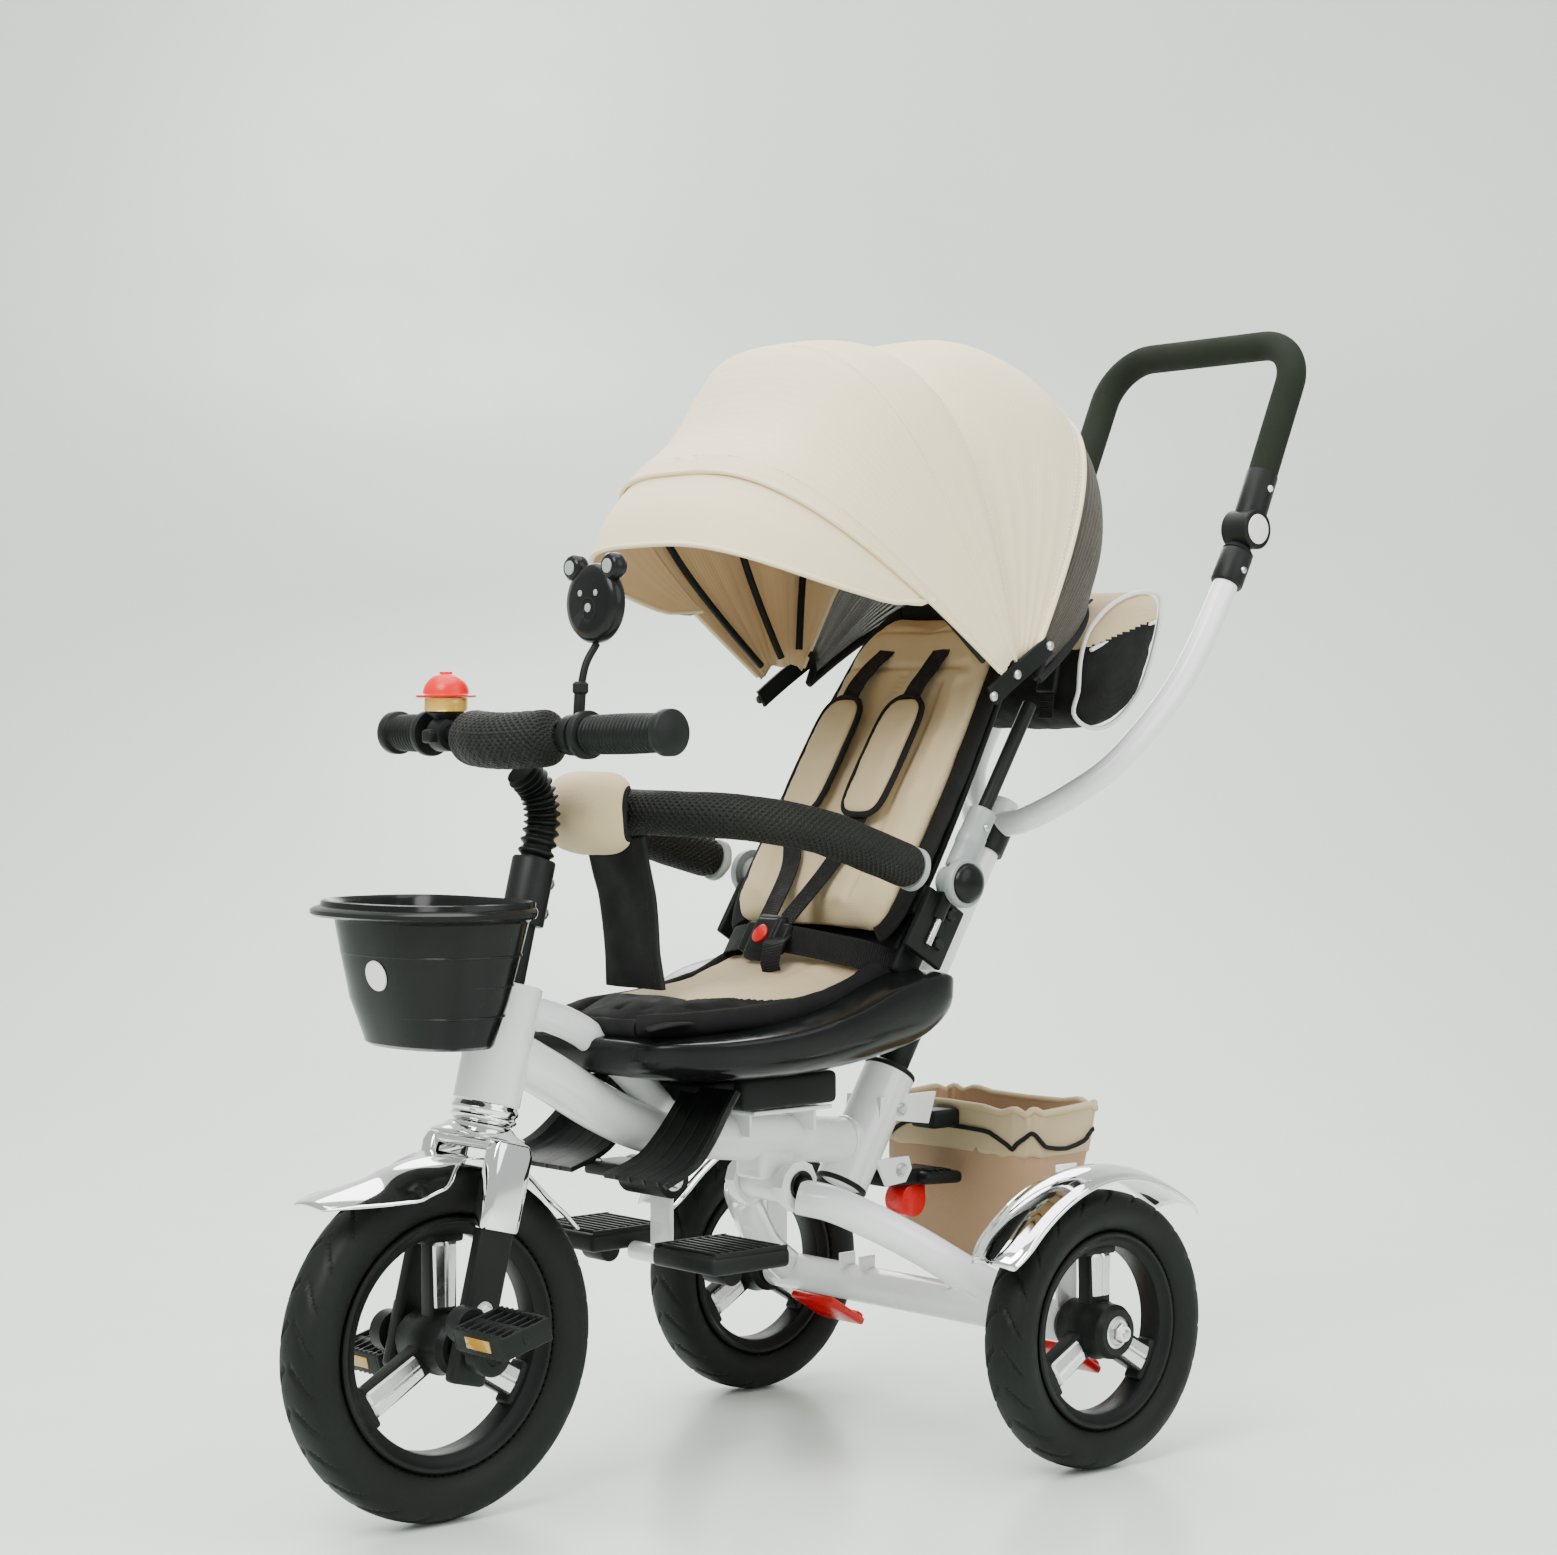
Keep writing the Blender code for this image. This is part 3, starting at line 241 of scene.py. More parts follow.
BORDER = look("black_cloth", ((0.006, 0.006, 0.006), (0.013, 0.014, 0.013)), (0.70, 0.90), (1500, 0.5), 12,
              weave=("plain", 0.0010, 0.0002), shine=0.2).material
BASKET = look("tan_cloth", ((0.52, 0.40, 0.22), (0.64, 0.50, 0.30)), (0.70, 0.88), (1300, 0.5), 8,
              weave=("plain", 0.0012, 0.0002)).material
# Painted shade: a darker, browner copy of the tan basket cloth, coloured as that cloth looks in shadow below
# the band; used on the lower tub and its lining.
SHADED_TAN = look("tan_cloth_in_shade", ((0.40, 0.24, 0.12), (0.50, 0.31, 0.17)), (0.65, 0.85), (1300, 0.5), 8,
             weave=("plain", 0.0012, 0.0002)).material
WEBBING = look("webbing", ((0.007, 0.007, 0.007), (0.015, 0.015, 0.015)), (0.60, 0.80), (1500, 0.4), 20,
               weave=("rib", 0.0022, 0.0005), shine=0.2).material
PIPING = look("pale_piping", ((0.70, 0.70, 0.68), (0.82, 0.82, 0.80)), (0.35, 0.50), (900, 0.2)).material
NET = netting("window_net", (0.045, 0.032, 0.02), 0.0016)


def amber():
    n = look("amber_clear", ((0.85, 0.42, 0.03), (0.95, 0.55, 0.08)), (0.08, 0.14), (400, 0.04), coat=0.5)
    n.set(n.shader, "Transmission Weight", 0.55)
    return n.material


AMBER = amber()

# ---------------------------------------------------------------- shapes


class Shape:
    """Points and faces in the design's frame, with each corner's place on the cloth in metres."""

    def __init__(self):
        self.points, self.faces, self.corners, self.slots = [], [], [], []

    def rows(self, rows, ring=False, ends=False, slot=0):
        """A skin over rows of points. ring closes each row, and ends closes the first and last rows."""
        first, width = len(self.points), len(rows[0])
        along = [0.0]
        for a, b in zip(rows, rows[1:]):
            along.append(along[-1] + (a[0] - b[0]).length)
        middle = rows[len(rows) // 2]
        across = [0.0]
        for a, b in zip(middle, middle[1:] + middle[:1]):
            across.append(across[-1] + (a - b).length)
        for row in rows:
            self.points.extend(row)
        for i in range(len(rows) - 1):
            for k in range(width if ring else width - 1):
                m = (k + 1) % width
                corner = [(i, k, k), (i, m, k + 1), (i + 1, m, k + 1), (i + 1, k, k)]
                self.faces.append([first + a * width + b for a, b, _ in corner])
                self.corners.append([(across[c], along[a]) for a, _, c in corner])
                self.slots.append(slot)
        for i in ((0, len(rows) - 1) if ends else ()):
            self.faces.append([first + i * width + k for k in range(width)])
            self.corners.append([(point.x, point.z) for point in rows[i]])
            self.slots.append(slot)
        return self

    def add(self, *others, slot=None):
        for other in others:
            first = len(self.points)
            self.points.extend(other.points)
            self.faces.extend([[first + k for k in face] for face in other.faces])
            self.corners.extend(other.corners)
            self.slots.extend(other.slots if slot is None else [slot] * len(other.slots))
        return self

    def moved(self, change):
        self.points = [change(point) for point in self.points]
        return self


def between(t, a, b, c, d):
    """A smooth value a share t of the way from b to c, with neighbours a and d."""
    return 0.5 * (2 * b + (c - a) * t + (2 * a - 5 * b + 4 * c - d) * t * t
                  + (3 * b - a - 3 * c + d) * t ** 3)


def flow(points, per=6, closed=False):
    """A smooth curve through the points."""
    points = [Vector(point) for point in points]
    if closed:
        points = [points[-1], *points, points[0], points[1]]
    else:
        points = [2 * points[0] - points[1], *points, 2 * points[-1] - points[-2]]
    made = []
    for stations in zip(points, points[1:], points[2:], points[3:]):
        made += [between(i / per, *stations) for i in range(per)]
    return made if closed else made + [points[-2]]


def tube(points, radius, sides=24, per=6, closed=False, widths=None, flat=1.0):
    """A round tube along a smooth curve; widths scales it along its length, flat squeezes it."""
    path = flow(points, per, closed) if per else [Vector(point) for point in points]
    count = len(path)
    upright = None
    rows = []
    for i, point in enumerate(path):
        ahead = path[(i + 1) % count] if closed else path[min(i + 1, count - 1)]
        behind = path[i - 1] if closed or i else point
        heading = (ahead - behind).normalized()
        if upright is None:
            guide = X if abs(heading.x) < 0.7 else Vector((0, 0, 1))
            upright = (guide - heading * guide.dot(heading)).normalized()
        upright = (upright - heading * upright.dot(heading)).normalized()
        sideways = heading.cross(upright)
        r = radius * (widths(i / (count - 1)) if widths else 1.0)
        rows.append([point + upright * r * math.cos(a) + sideways * r * flat * math.sin(a)
                     for a in (2 * math.pi * k / sides for k in range(sides))])
    if closed:
        rows.append(rows[0])
    return Shape().rows(rows, ring=True, ends=not closed)


def turned(profile, centre, direction, steps=48, hollow=False):
    """A profile of (radius, height) pairs spun about a direction; hollow leaves its middle open."""
    direction = Vector(direction).normalized()
    guide = X if abs(direction.x) < 0.7 else Vector((0, 0, 1))
    u = (guide - direction * guide.dot(direction)).normalized()
    v = direction.cross(u)
    rows = [[Vector(centre) + direction * h + (u * math.cos(a) + v * math.sin(a)) * max(r, 0.00002)
             for a in (2 * math.pi * k / steps for k in range(steps))] for r, h in profile]
    return Shape().rows(rows, ring=True, ends=not hollow)


def rod(start, end, radius, end_radius=None, edge=0.0008, steps=32):
    """A cylinder or cone with softened rims."""
    start, end = Vector(start), Vector(end)
    length, last = (end - start).length, end_radius or radius
    return turned([(radius - edge, 0), (radius - edge * 0.3, edge * 0.3), (radius, edge),
                   (last, length - edge), (last - edge * 0.3, length - edge * 0.3), (last - edge, length)],
                  start, end - start, steps)


def box(centre, size, tilt=0.0, edge=0.002, turn=0.0):
    """A block with rounded edges, tipped about X by tilt and about Z by turn."""
    bm = bmesh.new()
    bmesh.ops.create_cube(bm, size=1.0)
    bmesh.ops.scale(bm, vec=size, verts=bm.verts)
    bmesh.ops.bevel(bm, geom=bm.edges[:], offset=min(edge, min(size) * 0.45), segments=3, profile=0.5,
                    affect="EDGES")
    place = Matrix.Translation(centre) @ Matrix.Rotation(turn, 4, "Z") @ Matrix.Rotation(tilt, 4, "X")
    bm.transform(place)
    shape = Shape()
    shape.points = [vertex.co.copy() for vertex in bm.verts]
    shape.faces = [[vertex.index for vertex in face.verts] for face in bm.faces]
    shape.corners = [[(point.co.x + point.co.y, point.co.z) for point in face.verts] for face in bm.faces]
    shape.slots = [0] * len(shape.faces)
    bm.free()
    return shape


def hexagon(centre, direction, radius, height):
    """A bolt head: a six-sided prism with a small washer face and a domed top."""
    direction = Vector(direction).normalized()
    head = turned([(radius, 0), (radius, height * 0.8), (radius * 0.86, height)], centre, direction, 6)
    washer = turned([(radius * 1.35, -0.0006), (radius * 1.35, 0.0004), (radius * 1.1, 0.0006)], centre,
                    direction, 24)
    return head.add(washer)


def screw(centre, direction, radius=0.0035):
    """A pan-head screw: a low dome with a cross slot's shadow ring."""
    dome = [(radius, -0.0008), (radius, 0.0006), (radius * 0.85, 0.0016), (radius * 0.45, 0.0022),
            (radius * 0.40, 0.0014), (0.0001, 0.0012)]
    return turned(dome, centre, direction, 20)


def piece(name, shape, paint, body, replaces=(), sharp=38, subdivide=0, thick=None, bevel=0.0):
    """Makes the object, gives it its materials, and lets it ride on its body."""
    mesh = bpy.data.meshes.new(name)
    mesh.from_pydata([world(point) for point in shape.points], [], shape.faces)
    weave = mesh.uv_layers.new(name="weave")
    for loop, place in zip(weave.data, (corner for face in shape.corners for corner in face)):
        loop.uv = place
    mesh.polygons.foreach_set("material_index", shape.slots)
    bm = bmesh.new()
    bm.from_mesh(mesh)
    bmesh.ops.remove_doubles(bm, verts=bm.verts, dist=0.00003)
    bmesh.ops.recalc_face_normals(bm, faces=bm.faces)
    bm.to_mesh(mesh)
    bm.free()
    mesh.polygons.foreach_set("use_smooth", [True] * len(mesh.polygons))
    mesh.set_sharp_from_angle(angle=math.radians(sharp))
    obj = bpy.data.objects.new(name, mesh)
    bpy.context.scene.collection.objects.link(obj)
    for material in paint if isinstance(paint, (list, tuple)) else [paint]:
        mesh.materials.append(material)
    if thick:
        skin = obj.modifiers.new("skin", "SOLIDIFY")
        skin.thickness, skin.offset = abs(thick), math.copysign(1.0, thick)
        skin.use_even_offset = False
        skin.material_offset = len(mesh.materials) - 1
    if bevel:
        edge = obj.modifiers.new("edge", "BEVEL")
        edge.width, edge.segments, edge.limit_method = bevel, 3, "ANGLE"
        edge.harden_normals = False
    if subdivide:
        smooth = obj.modifiers.new("smooth", "SUBSURF")
        smooth.levels = smooth.render_levels = subdivide
    if body:
        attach(obj, body)
    if replaces:
        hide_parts(*replaces)
    return obj


def steer(distance, x=0.0, forward=0.0):
    """A point at a distance up the steering axis from the front hub."""
    return HUB + STEER * distance + AHEAD * forward + X * x


def bulge(value, power):
    """A cosine or sine raised to a power, keeping its sign: the corner shape of a rounded box."""
    return math.copysign(abs(value) ** power, value)


def circle(count):
    """The cosine and sine of each of count even turns."""
    return [(math.cos(a), math.sin(a)) for a in (2 * math.pi * k / count for k in range(count))]


def ease(t):
    """A smooth step from 0 to 1."""
    t = max(0.0, min(1.0, t))
    return t * t * (3 - 2 * t)


# ---------------------------------------------------------------- wheels


def tyre(centre, outer, bead, grooves):
    """A pneumatic tyre: curved slanted tread grooves run from near the middle over each shoulder."""
    half, depth = 0.0243, outer - bead
    section = [(bead + 0.001, 0.56), (bead + 0.06 * depth, 0.68), (bead + 0.14 * depth, 0.80),
               (bead + 0.22 * depth, 0.885), (bead + 0.32 * depth, 0.945), (bead + 0.42 * depth, 0.985),
               (bead + 0.55 * depth, 1.00), (bead + 0.66 * depth, 0.97)]
    crown = [(outer - 0.34 * depth * (1 - math.cos(a)) ** 1.15, math.sin(a) * 0.965)
             for a in (math.radians(4 * i) for i in range(18, 0, -1))]
    side = section + crown
    profile = side + [(outer, 0.0)] + [(r, -share) for r, share in side[::-1]]
    steps = 288
    rows = []
    for i in range(steps):
        turn = 2 * math.pi * i / steps
        row = []
        for r, share in profile:
            across = abs(share)
            slant = 0.42 * across ** 1.6 + (0.5 / grooves if share < 0 else 0.0)
            phase = (turn / (2 * math.pi) * grooves - slant * 2.2) % 1.0
            line = max(0.0, 1 - abs(phase - 0.5) / 0.085)
            reach = ease((across - 0.10) / 0.08) * ease((0.985 - across) / 0.05)
            cut = 0.0019 * ease(line * 2.2) * reach * (1.0 if r > bead + 0.50 * depth else 0.0)
            row.append(centre + Vector((share * half, (r - cut) * math.sin(turn),
                                        -(r - cut) * math.cos(turn))))
        rows.append(row)
    rows.append(rows[0])
    skin = Shape().rows(rows)
    bed = turned([(bead + 0.001, half * 0.56), (bead - 0.0006, half * 0.50), (bead - 0.0006, -half * 0.50),
                  (bead + 0.001, -half * 0.56)], centre, X, 96, hollow=True)
    return skin.add(bed)


def rim(centre, bead, opening, hub_half):
    """A black moulded rim: a dished barrel, three broad spokes and a hub, with two bearing cups."""
    barrel = []
    for side in (1, -1):
        dish = [(bead - 0.0008, 0.0135), (bead - 0.0008, 0.0165), (bead - 0.0022, 0.0180),
                (bead - 0.0048, 0.0178),
                (bead - 0.0070, 0.0150), (opening + 0.0035, 0.0120), (opening + 0.0008, 0.0118),
                (opening, 0.0105)]
        barrel.append([(r, side * x) for r, x in dish])
    shape = turned(barrel[0] + barrel[1][::-1] + barrel[0][:1], centre, X, 120, hollow=True)
    for side in (1, -1):
        hub = [(0.0001, 0.0), (0.0270, 0.0), (0.0270, 0.0080), (0.0255, 0.0100), (0.0245, hub_half - 0.006),
               (0.0230, hub_half - 0.0045), (0.0215, hub_half - 0.0012), (0.0203, hub_half),
               (0.0150, hub_half), (0.0140, hub_half - 0.0030), (0.0001, hub_half - 0.0030)]
        shape.add(turned(hub, centre, X * side, 48))
    for i in range(3):
        angle = math.radians(120 * i)
        spoke = box((0, 0, (opening + 0.018) / 2), (0.0165, 0.0270, opening - 0.012), 0.0, 0.003)
        foot = box((0, 0, opening - 0.003), (0.0185, 0.0400, 0.010), 0.0, 0.003)
        turn = Matrix.Translation(centre) @ Matrix.Rotation(angle, 4, "X")
        shape.add(spoke.add(foot).moved(lambda point: turn @ point))
    return shape


def spoke_covers(centre, opening):
    """A bevelled silver cover on both faces of each spoke."""
    shape = Shape()
    for i in range(3):
        turn = Matrix.Translation(centre) @ Matrix.Rotation(math.radians(120 * i), 4, "X")
        for side in (1, -1):
            rows = []
            for z, half in ((0.0295, 0.0085), (0.0310, 0.0105), (opening - 0.009, 0.0122),
                            (opening - 0.0065, 0.0105)):
                lift = 0.0102 if 0.030 < z < opening - 0.008 else 0.0086
                rows.append([turn @ Vector((side * x, y, z)) for y, x in
                             ((-half, 0.0082), (-half * 0.86, lift), (-half * 0.18, lift + 0.0012),
                              (0, lift + 0.0004),
                              (half * 0.18, lift + 0.0012), (half * 0.86, lift), (half, 0.0082))])
            shape.add(Shape().rows(rows, ring=True, ends=True))
    return shape


def axle_nut(centre, side, reach):
    """Washer, nut, threaded end and, round them, a pressed steel cup."""
    place = Vector(centre) + X * side * reach
    cup = turned([(0.0150, -0.0015), (0.0150, 0.0012), (0.0120, 0.0022), (0.0095, 0.0010)], place, X * side,
                 32)
    nut = hexagon(place + X * side * 0.0008, X * side, 0.0090, 0.0070)
    end = rod(place, place + X * side * 0.0125, 0.0048, 0.0042, 0.0006, 20)
    return cup.add(nut, end)


def make_wheels():
    """Tyres, rims, spoke covers and axle nuts of the three wheels."""
    piece("front_tyre_tread", tyre(HUB, 0.150, 0.108, 26), TYRE, "front_wheel",
          ["front_tyre"], 30)
    piece("front_rim_moulding", rim(HUB, 0.108, 0.092, 0.034), SATIN, "front_wheel",
          ["front_rim"], 40)
    piece("front_spoke_covers", spoke_covers(HUB, 0.092), SILVER, "front_wheel", (), 25)
    for side, word in SIDES:
        hub, body = Vector((side * REAR_HUB.x, 0, REAR_HUB.z)), "rear_wheel_" + word
        piece("rear_tyre_tread_" + word, tyre(hub, 0.125, 0.089, 22), TYRE, body,
              ["rear_tyre_" + word], 30)
        piece("rear_rim_moulding_" + word, rim(hub, 0.089, 0.075, 0.030), SATIN, body,
              ["rear_rim_" + word], 40)
        piece("rear_spoke_covers_" + word, spoke_covers(hub, 0.075), SILVER, body, (), 25)
        piece("rear_axle_nut_" + word, axle_nut(hub, side, 0.0275), STEEL, "rear_frame")


# ---------------------------------------------------------------- frame


def weld(centre, direction, radius):
    """A small rounded bead where one tube meets another."""
    return turned([(radius - 0.002, -0.003), (radius + 0.0012, -0.0022), (radius + 0.0022, 0.0),
                   (radius + 0.0012, 0.0022), (radius - 0.002, 0.003)], centre, direction, 40)


def make_frame():
    """The painted tubes and plates between the head tube and the socket of the push post."""
    head = turned([(0.0134, 0.0), (0.0280, 0.0), (0.0290, 0.0010), (0.0290, 0.1020), (0.0280, 0.1030),
                   (0.0134, 0.1030)], steer(0.2035), STEER, 64)
    down = tube([(0, -0.506, 0.396), (0, -0.490, 0.392), (0, -0.440, 0.366), (0, -0.382, 0.333),
                 (0, -0.330, 0.311),
                 (0, -0.268, 0.300), (0, -0.075, 0.2785)], 0.0215, 40, 8)
    brace = tube([(0, -0.490, 0.432), (0, -0.475, 0.429), (0, -0.405, 0.403), (0, -0.345, 0.357),
                  (0, -0.290, 0.305)], 0.0140, 32, 8)
    socket = turned([(0.0195, 0.0), (0.0243, 0.0), (0.0250, 0.0008), (0.0250, 0.1162), (0.0243, 0.1170),
                     (0.0195, 0.1170), (0.0195, 0.0)], POST_FOOT, LEAN, 56)
    sleeve = rod((-0.0262, FOLD.y, FOLD.z), (0.0262, FOLD.y, FOLD.z), 0.0180, steps=48)
    saddle = box((0, -0.190, 0.270), (0.036, 0.044, 0.030), 0.0, 0.005)
    shape = head.add(down, brace, socket, sleeve, saddle)
    shape.add(weld((0, -0.093, 0.2805), (0, 1, -0.11), 0.0212))
    shape.add(box((0, -0.195, 0.3205), (0.090, 0.095, 0.0040), 0.0, 0.0012))
    for y in (-0.236, -0.158):
        shape.add(box((0, y, 0.3090), (0.066, 0.0035, 0.022), 0.0, 0.001))
    for side, _ in SIDES:
        ear = [(-0.004, 0.291), (0.006, 0.3205), (-0.066, 0.3205), (-0.068, 0.300)]
        lug = [(-0.072, 0.262), (-0.030, 0.262), (-0.026, 0.250), (-0.034, 0.238), (-0.058, 0.236)]
        for outline in (ear, lug):
            rows = [[Vector((side * 0.0215 + step, y, z)) for y, z in outline] for step in (-0.002, 0.002)]
            shape.add(Shape().rows(rows, ring=True, ends=True))
    piece("painted_frame", shape, WHITE, "frame", ["main_frame"], 32)

    band = turned([(0.0252, 0.004), (0.0264, 0.006), (0.0264, 0.0105), (0.0252, 0.0125)], steer(0.2035),
                  STEER, 64)
    collar = tube([POST_FOOT + LEAN * 0.1190 + Vector((0.0222 * math.cos(a), 0,
                                                       0)) + OUT * 0.0222 * math.sin(a)
                   for a in (math.radians(30 * i) for i in range(12))], 0.0034, 12, 4, closed=True)
    lower = tube([POST_FOOT - LEAN * 0.0010 + Vector((0.0225 * math.cos(a), 0,
                                                      0)) + OUT * 0.0225 * math.sin(a)
                  for a in (math.radians(30 * i) for i in range(12))], 0.0030, 12, 4, closed=True)
    liner = turned([(0.0192, 0.1180), (0.0192, 0.006), (0.0146, 0.006), (0.0146, 0.1180)], POST_FOOT, LEAN,
                   40)
    piece("socket_collar", collar.add(lower, liner), SATIN, "frame", ["post_bush"])
    piece("head_band", band, GLOSS, "frame")
    bolts = Shape()
    for x, y, z in ((0.0240, -0.0405, 0.3070), (0.0240, -0.0400, 0.2500)):
        bolts.add(hexagon((x, y, z), X, 0.0050, 0.0045), hexagon((-x, y, z), -X, 0.0050, 0.0045))
    for y in (-0.225, -0.165):
        bolts.add(hexagon((0.030, y, 0.3228), (0, 0, 1), 0.0055, 0.0030))
    piece("frame_bolts", bolts, STEEL, "frame")


def make_headset_and_fork():
    """Chrome rings and crown over a black fork with bright covers."""
    rings = [(0.0130, -0.0085), (0.0245, -0.0085), (0.0262, -0.0075), (0.0285, -0.0050), (0.0290, -0.0032),
             (0.0272, -0.0015), (0.0272, 0.0000), (0.0290, 0.0018), (0.0290, 0.0045), (0.0278, 0.0060),
             (0.0272, 0.0085), (0.0130, 0.0085)]
    piece("headset_rings", turned(rings, steer(0.1944), STEER, 72), CHROME, "frame", ["headset"],
          50)

    crown = [(0.0122, 0.1855), (0.0250, 0.1855), (0.0290, 0.1840), (0.0330, 0.1800), (0.0400, 0.1765),
             (0.0425, 0.1745), (0.0425, 0.1730), (0.0400, 0.1710), (0.0122, 0.1710)]
    dish = turned([(r, h) for r, h in crown], HUB, STEER, 72)
    shrouds = Shape().add(dish, box(steer(0.1690), (0.104, 0.036, 0.010), -HEAD_ANGLE, 0.004))
    legs = Shape()
    bolts = Shape()
    for side, _ in SIDES:
        rows = []
        for distance, half_x, half_y in ((0.1720, 0.0078, 0.0180), (0.1650, 0.0098, 0.0206),
                                         (0.1180, 0.0100, 0.0208),
                                         (0.1020, 0.0100, 0.0206), (0.1000, 0.0092, 0.0196)):
            ring = []
            for cx, cy in circle(24):
                ring.append(steer(distance, side * 0.0455 + half_x * bulge(cx, 0.45),
                                  half_y * bulge(cy, 0.45)))
            rows.append(ring)
        shrouds.add(Shape().rows(rows, ring=True, ends=True))
        legs.add(box(steer(0.0660, side * 0.0455), (0.0150, 0.0340, 0.1900), -HEAD_ANGLE, 0.004))
        legs.add(box(steer(0.0120, side * 0.0520), (0.0100, 0.0300, 0.0340), -HEAD_ANGLE, 0.004))
        bolts.add(hexagon(steer(0.0330, side * 0.0535), X * side, 0.0062, 0.0042))
    steerer = rod(steer(0.175), steer(0.3068), 0.0122)
    piece("fork_legs", legs.add(steerer), SATIN, "fork", ["fork"], 40)
    piece("fork_shrouds", shrouds, CHROME, "fork", (), 40)
    piece("fork_bolts", bolts, STEEL, "fork")


def make_fenders():
    """A winged chrome mudguard over the front wheel and a rolled one over each rear wheel."""
    rows = []
    for i in range(49):
        degrees = -50 + 96 * i / 48
        angle = math.radians(degrees)
        curl = max(0.0, (degrees - 22) / 24)
        lift = 0.1562 + 0.028 * curl ** 1.7
        lobe = ease((abs(degrees + 12) - 9) / 16)
        half = (0.033 + 0.021 * lobe) * (1 - 0.62 * curl ** 3)
        droop = 0.022 * lobe * (1 - 0.8 * curl)
        flare = 0.006 * lobe * (1 - curl)
        row = []
        for k in range(33):
            across = -1 + 2 * k / 32
            edge = max(0.0, (abs(across) - 0.86) / 0.14)
            reach = lift - droop * abs(across) ** 1.9 + flare * edge ** 2
            row.append(HUB + X * half * across + Vector((0, -math.sin(angle), math.cos(angle))) * reach)
        rows.append(row)
    piece("front_mudguard", Shape().rows(rows), CHROME, "fork", ["front_fender"], 60, thick=0.0016)
    for side, word in SIDES:
        centre = Vector((side * REAR_HUB.x, 0, REAR_HUB.z))
        rows = []
        for i in range(49):
            degrees = -50 + 112 * i / 48
            swing = (degrees - 6) / 56
            flare = 0.010 * abs(swing) ** 3
            half = 0.034 - 0.008 * max(0.0, (abs(swing) - 0.80) / 0.20) ** 2
            angle = math.radians(degrees)
            row = []
            for k in range(25):
                across = -1 + 2 * k / 24
                lip = 0.0022 * max(0.0, (abs(across) - 0.90) / 0.10) ** 2
                bead = 0.0011 * math.exp(-((abs(across) - 0.72) / 0.05) ** 2)
                radius = 0.1465 + flare - 0.012 * across * across + lip + bead
                row.append(centre + X * half * across * side
                           + Vector((0, -math.sin(angle), math.cos(angle))) * radius)
            rows.append(row)
        piece("rear_mudguard_" + word, Shape().rows(rows), CHROME, "rear_frame",
              ["rear_fender_" + word], 60, thick=0.0016)


def make_rear_frame():
    """The folding rear frame with its brake pedals, fold pedal and latch."""
    shape = rod((-0.200, 0, REAR_HUB.z), (0.200, 0, REAR_HUB.z), 0.0180, steps=48)
    for side, _ in SIDES:
        route = [(0.184, 0.004, 0.126), (0.176, -0.008, 0.132), (0.150, -0.060, 0.162),
                 (0.110, -0.115, 0.203),
                 (0.068, -0.160, 0.232), (0.038, -0.181, 0.240)]
        shape.add(tube([(side * x, y, z) for x, y, z in route], 0.0165, 40, 8))
        drop = [(-0.024, 0.250), (-0.020, 0.262), (-0.010, 0.271), (0.002, 0.273), (0.013, 0.268),
                (0.019, 0.256),
                (0.017, 0.242), (0.008, 0.229), (-0.006, 0.226), (-0.018, 0.236)]
        rows = [[Vector((side * x, FOLD.y + y, z)) for y, z in drop] for x in (0.0275, 0.0335, 0.0395)]
        shape.add(Shape().rows(rows, ring=True, ends=True))
        shape.add(rod((side * 0.190, 0, REAR_HUB.z), (side * 0.2715, 0, REAR_HUB.z), 0.0070))
        shape.add(box((side * 0.1985, 0, 0.205), (0.003, 0.026, 0.130), 0.0, 0.001))
        for x in (0.060, 0.088):
            shape.add(box((side * x, -0.006, 0.1475), (0.0035, 0.020, 0.0150), 0.0, 0.001))
    piece("painted_rear_frame", shape, WHITE, "rear_frame", ["rear_fork"], 40, bevel=0.0006)
    pin = Shape()
    gasket = Shape()
    for side, _ in SIDES:
        pin.add(hexagon((side * 0.0400, FOLD.y, FOLD.z), X * side, 0.0085, 0.0050))
        gasket.add(turned([(0.0120, -0.0005), (0.0140, 0.0008), (0.0120, 0.0022), (0.0100, 0.0010)],
                          (side * 0.0397, FOLD.y, FOLD.z), X * side, 40))
    piece("fold_bolts", pin, SATIN, "rear_frame")
    piece("fold_gaskets", gasket, GLOSS, "rear_frame")
    for side, word in SIDES:
        body = "brake_" + word
        blade = box((side * 0.160, 0.034, 0.086), (0.062, 0.052, 0.008), -0.55, 0.003)
        blade.add(box((side * 0.160, 0.0515, 0.0785), (0.058, 0.012, 0.010), -0.55, 0.004))
        for x in (-0.018, 0.0, 0.018):
            blade.add(box((side * 0.160 + x, 0.036, 0.0885), (0.004, 0.036, 0.0060), -0.55, 0.0015))
        piece("brake_pedal_" + word, blade, RED, body, ["brake_" + word], 40)
    arm = box((0, -0.0160, 0.240), (0.034, 0.080, 0.016), -0.05, 0.004)
    arm.add(box((0, 0.012, 0.238), (0.060, 0.050, 0.012), -0.05, 0.005))
    for y in (0.000, 0.008, 0.016, 0.024):
        arm.add(box((0, y, 0.2445 - 0.05 * (y - 0.012)), (0.050, 0.003, 0.0030), -0.05, 0.001))
    piece("fold_pedal", arm, SATIN, "release", ["release_pedal"])
    latch = rod((-0.012, -0.012, 0.217), (0.012, -0.012, 0.217), 0.0160)
    latch.add(box((0, -0.006, 0.224), (0.018, 0.028, 0.016), 0.0, 0.004))
    piece("fold_latch", latch, RED, "release")


# ---------------------------------------------------------------- steering column and bars


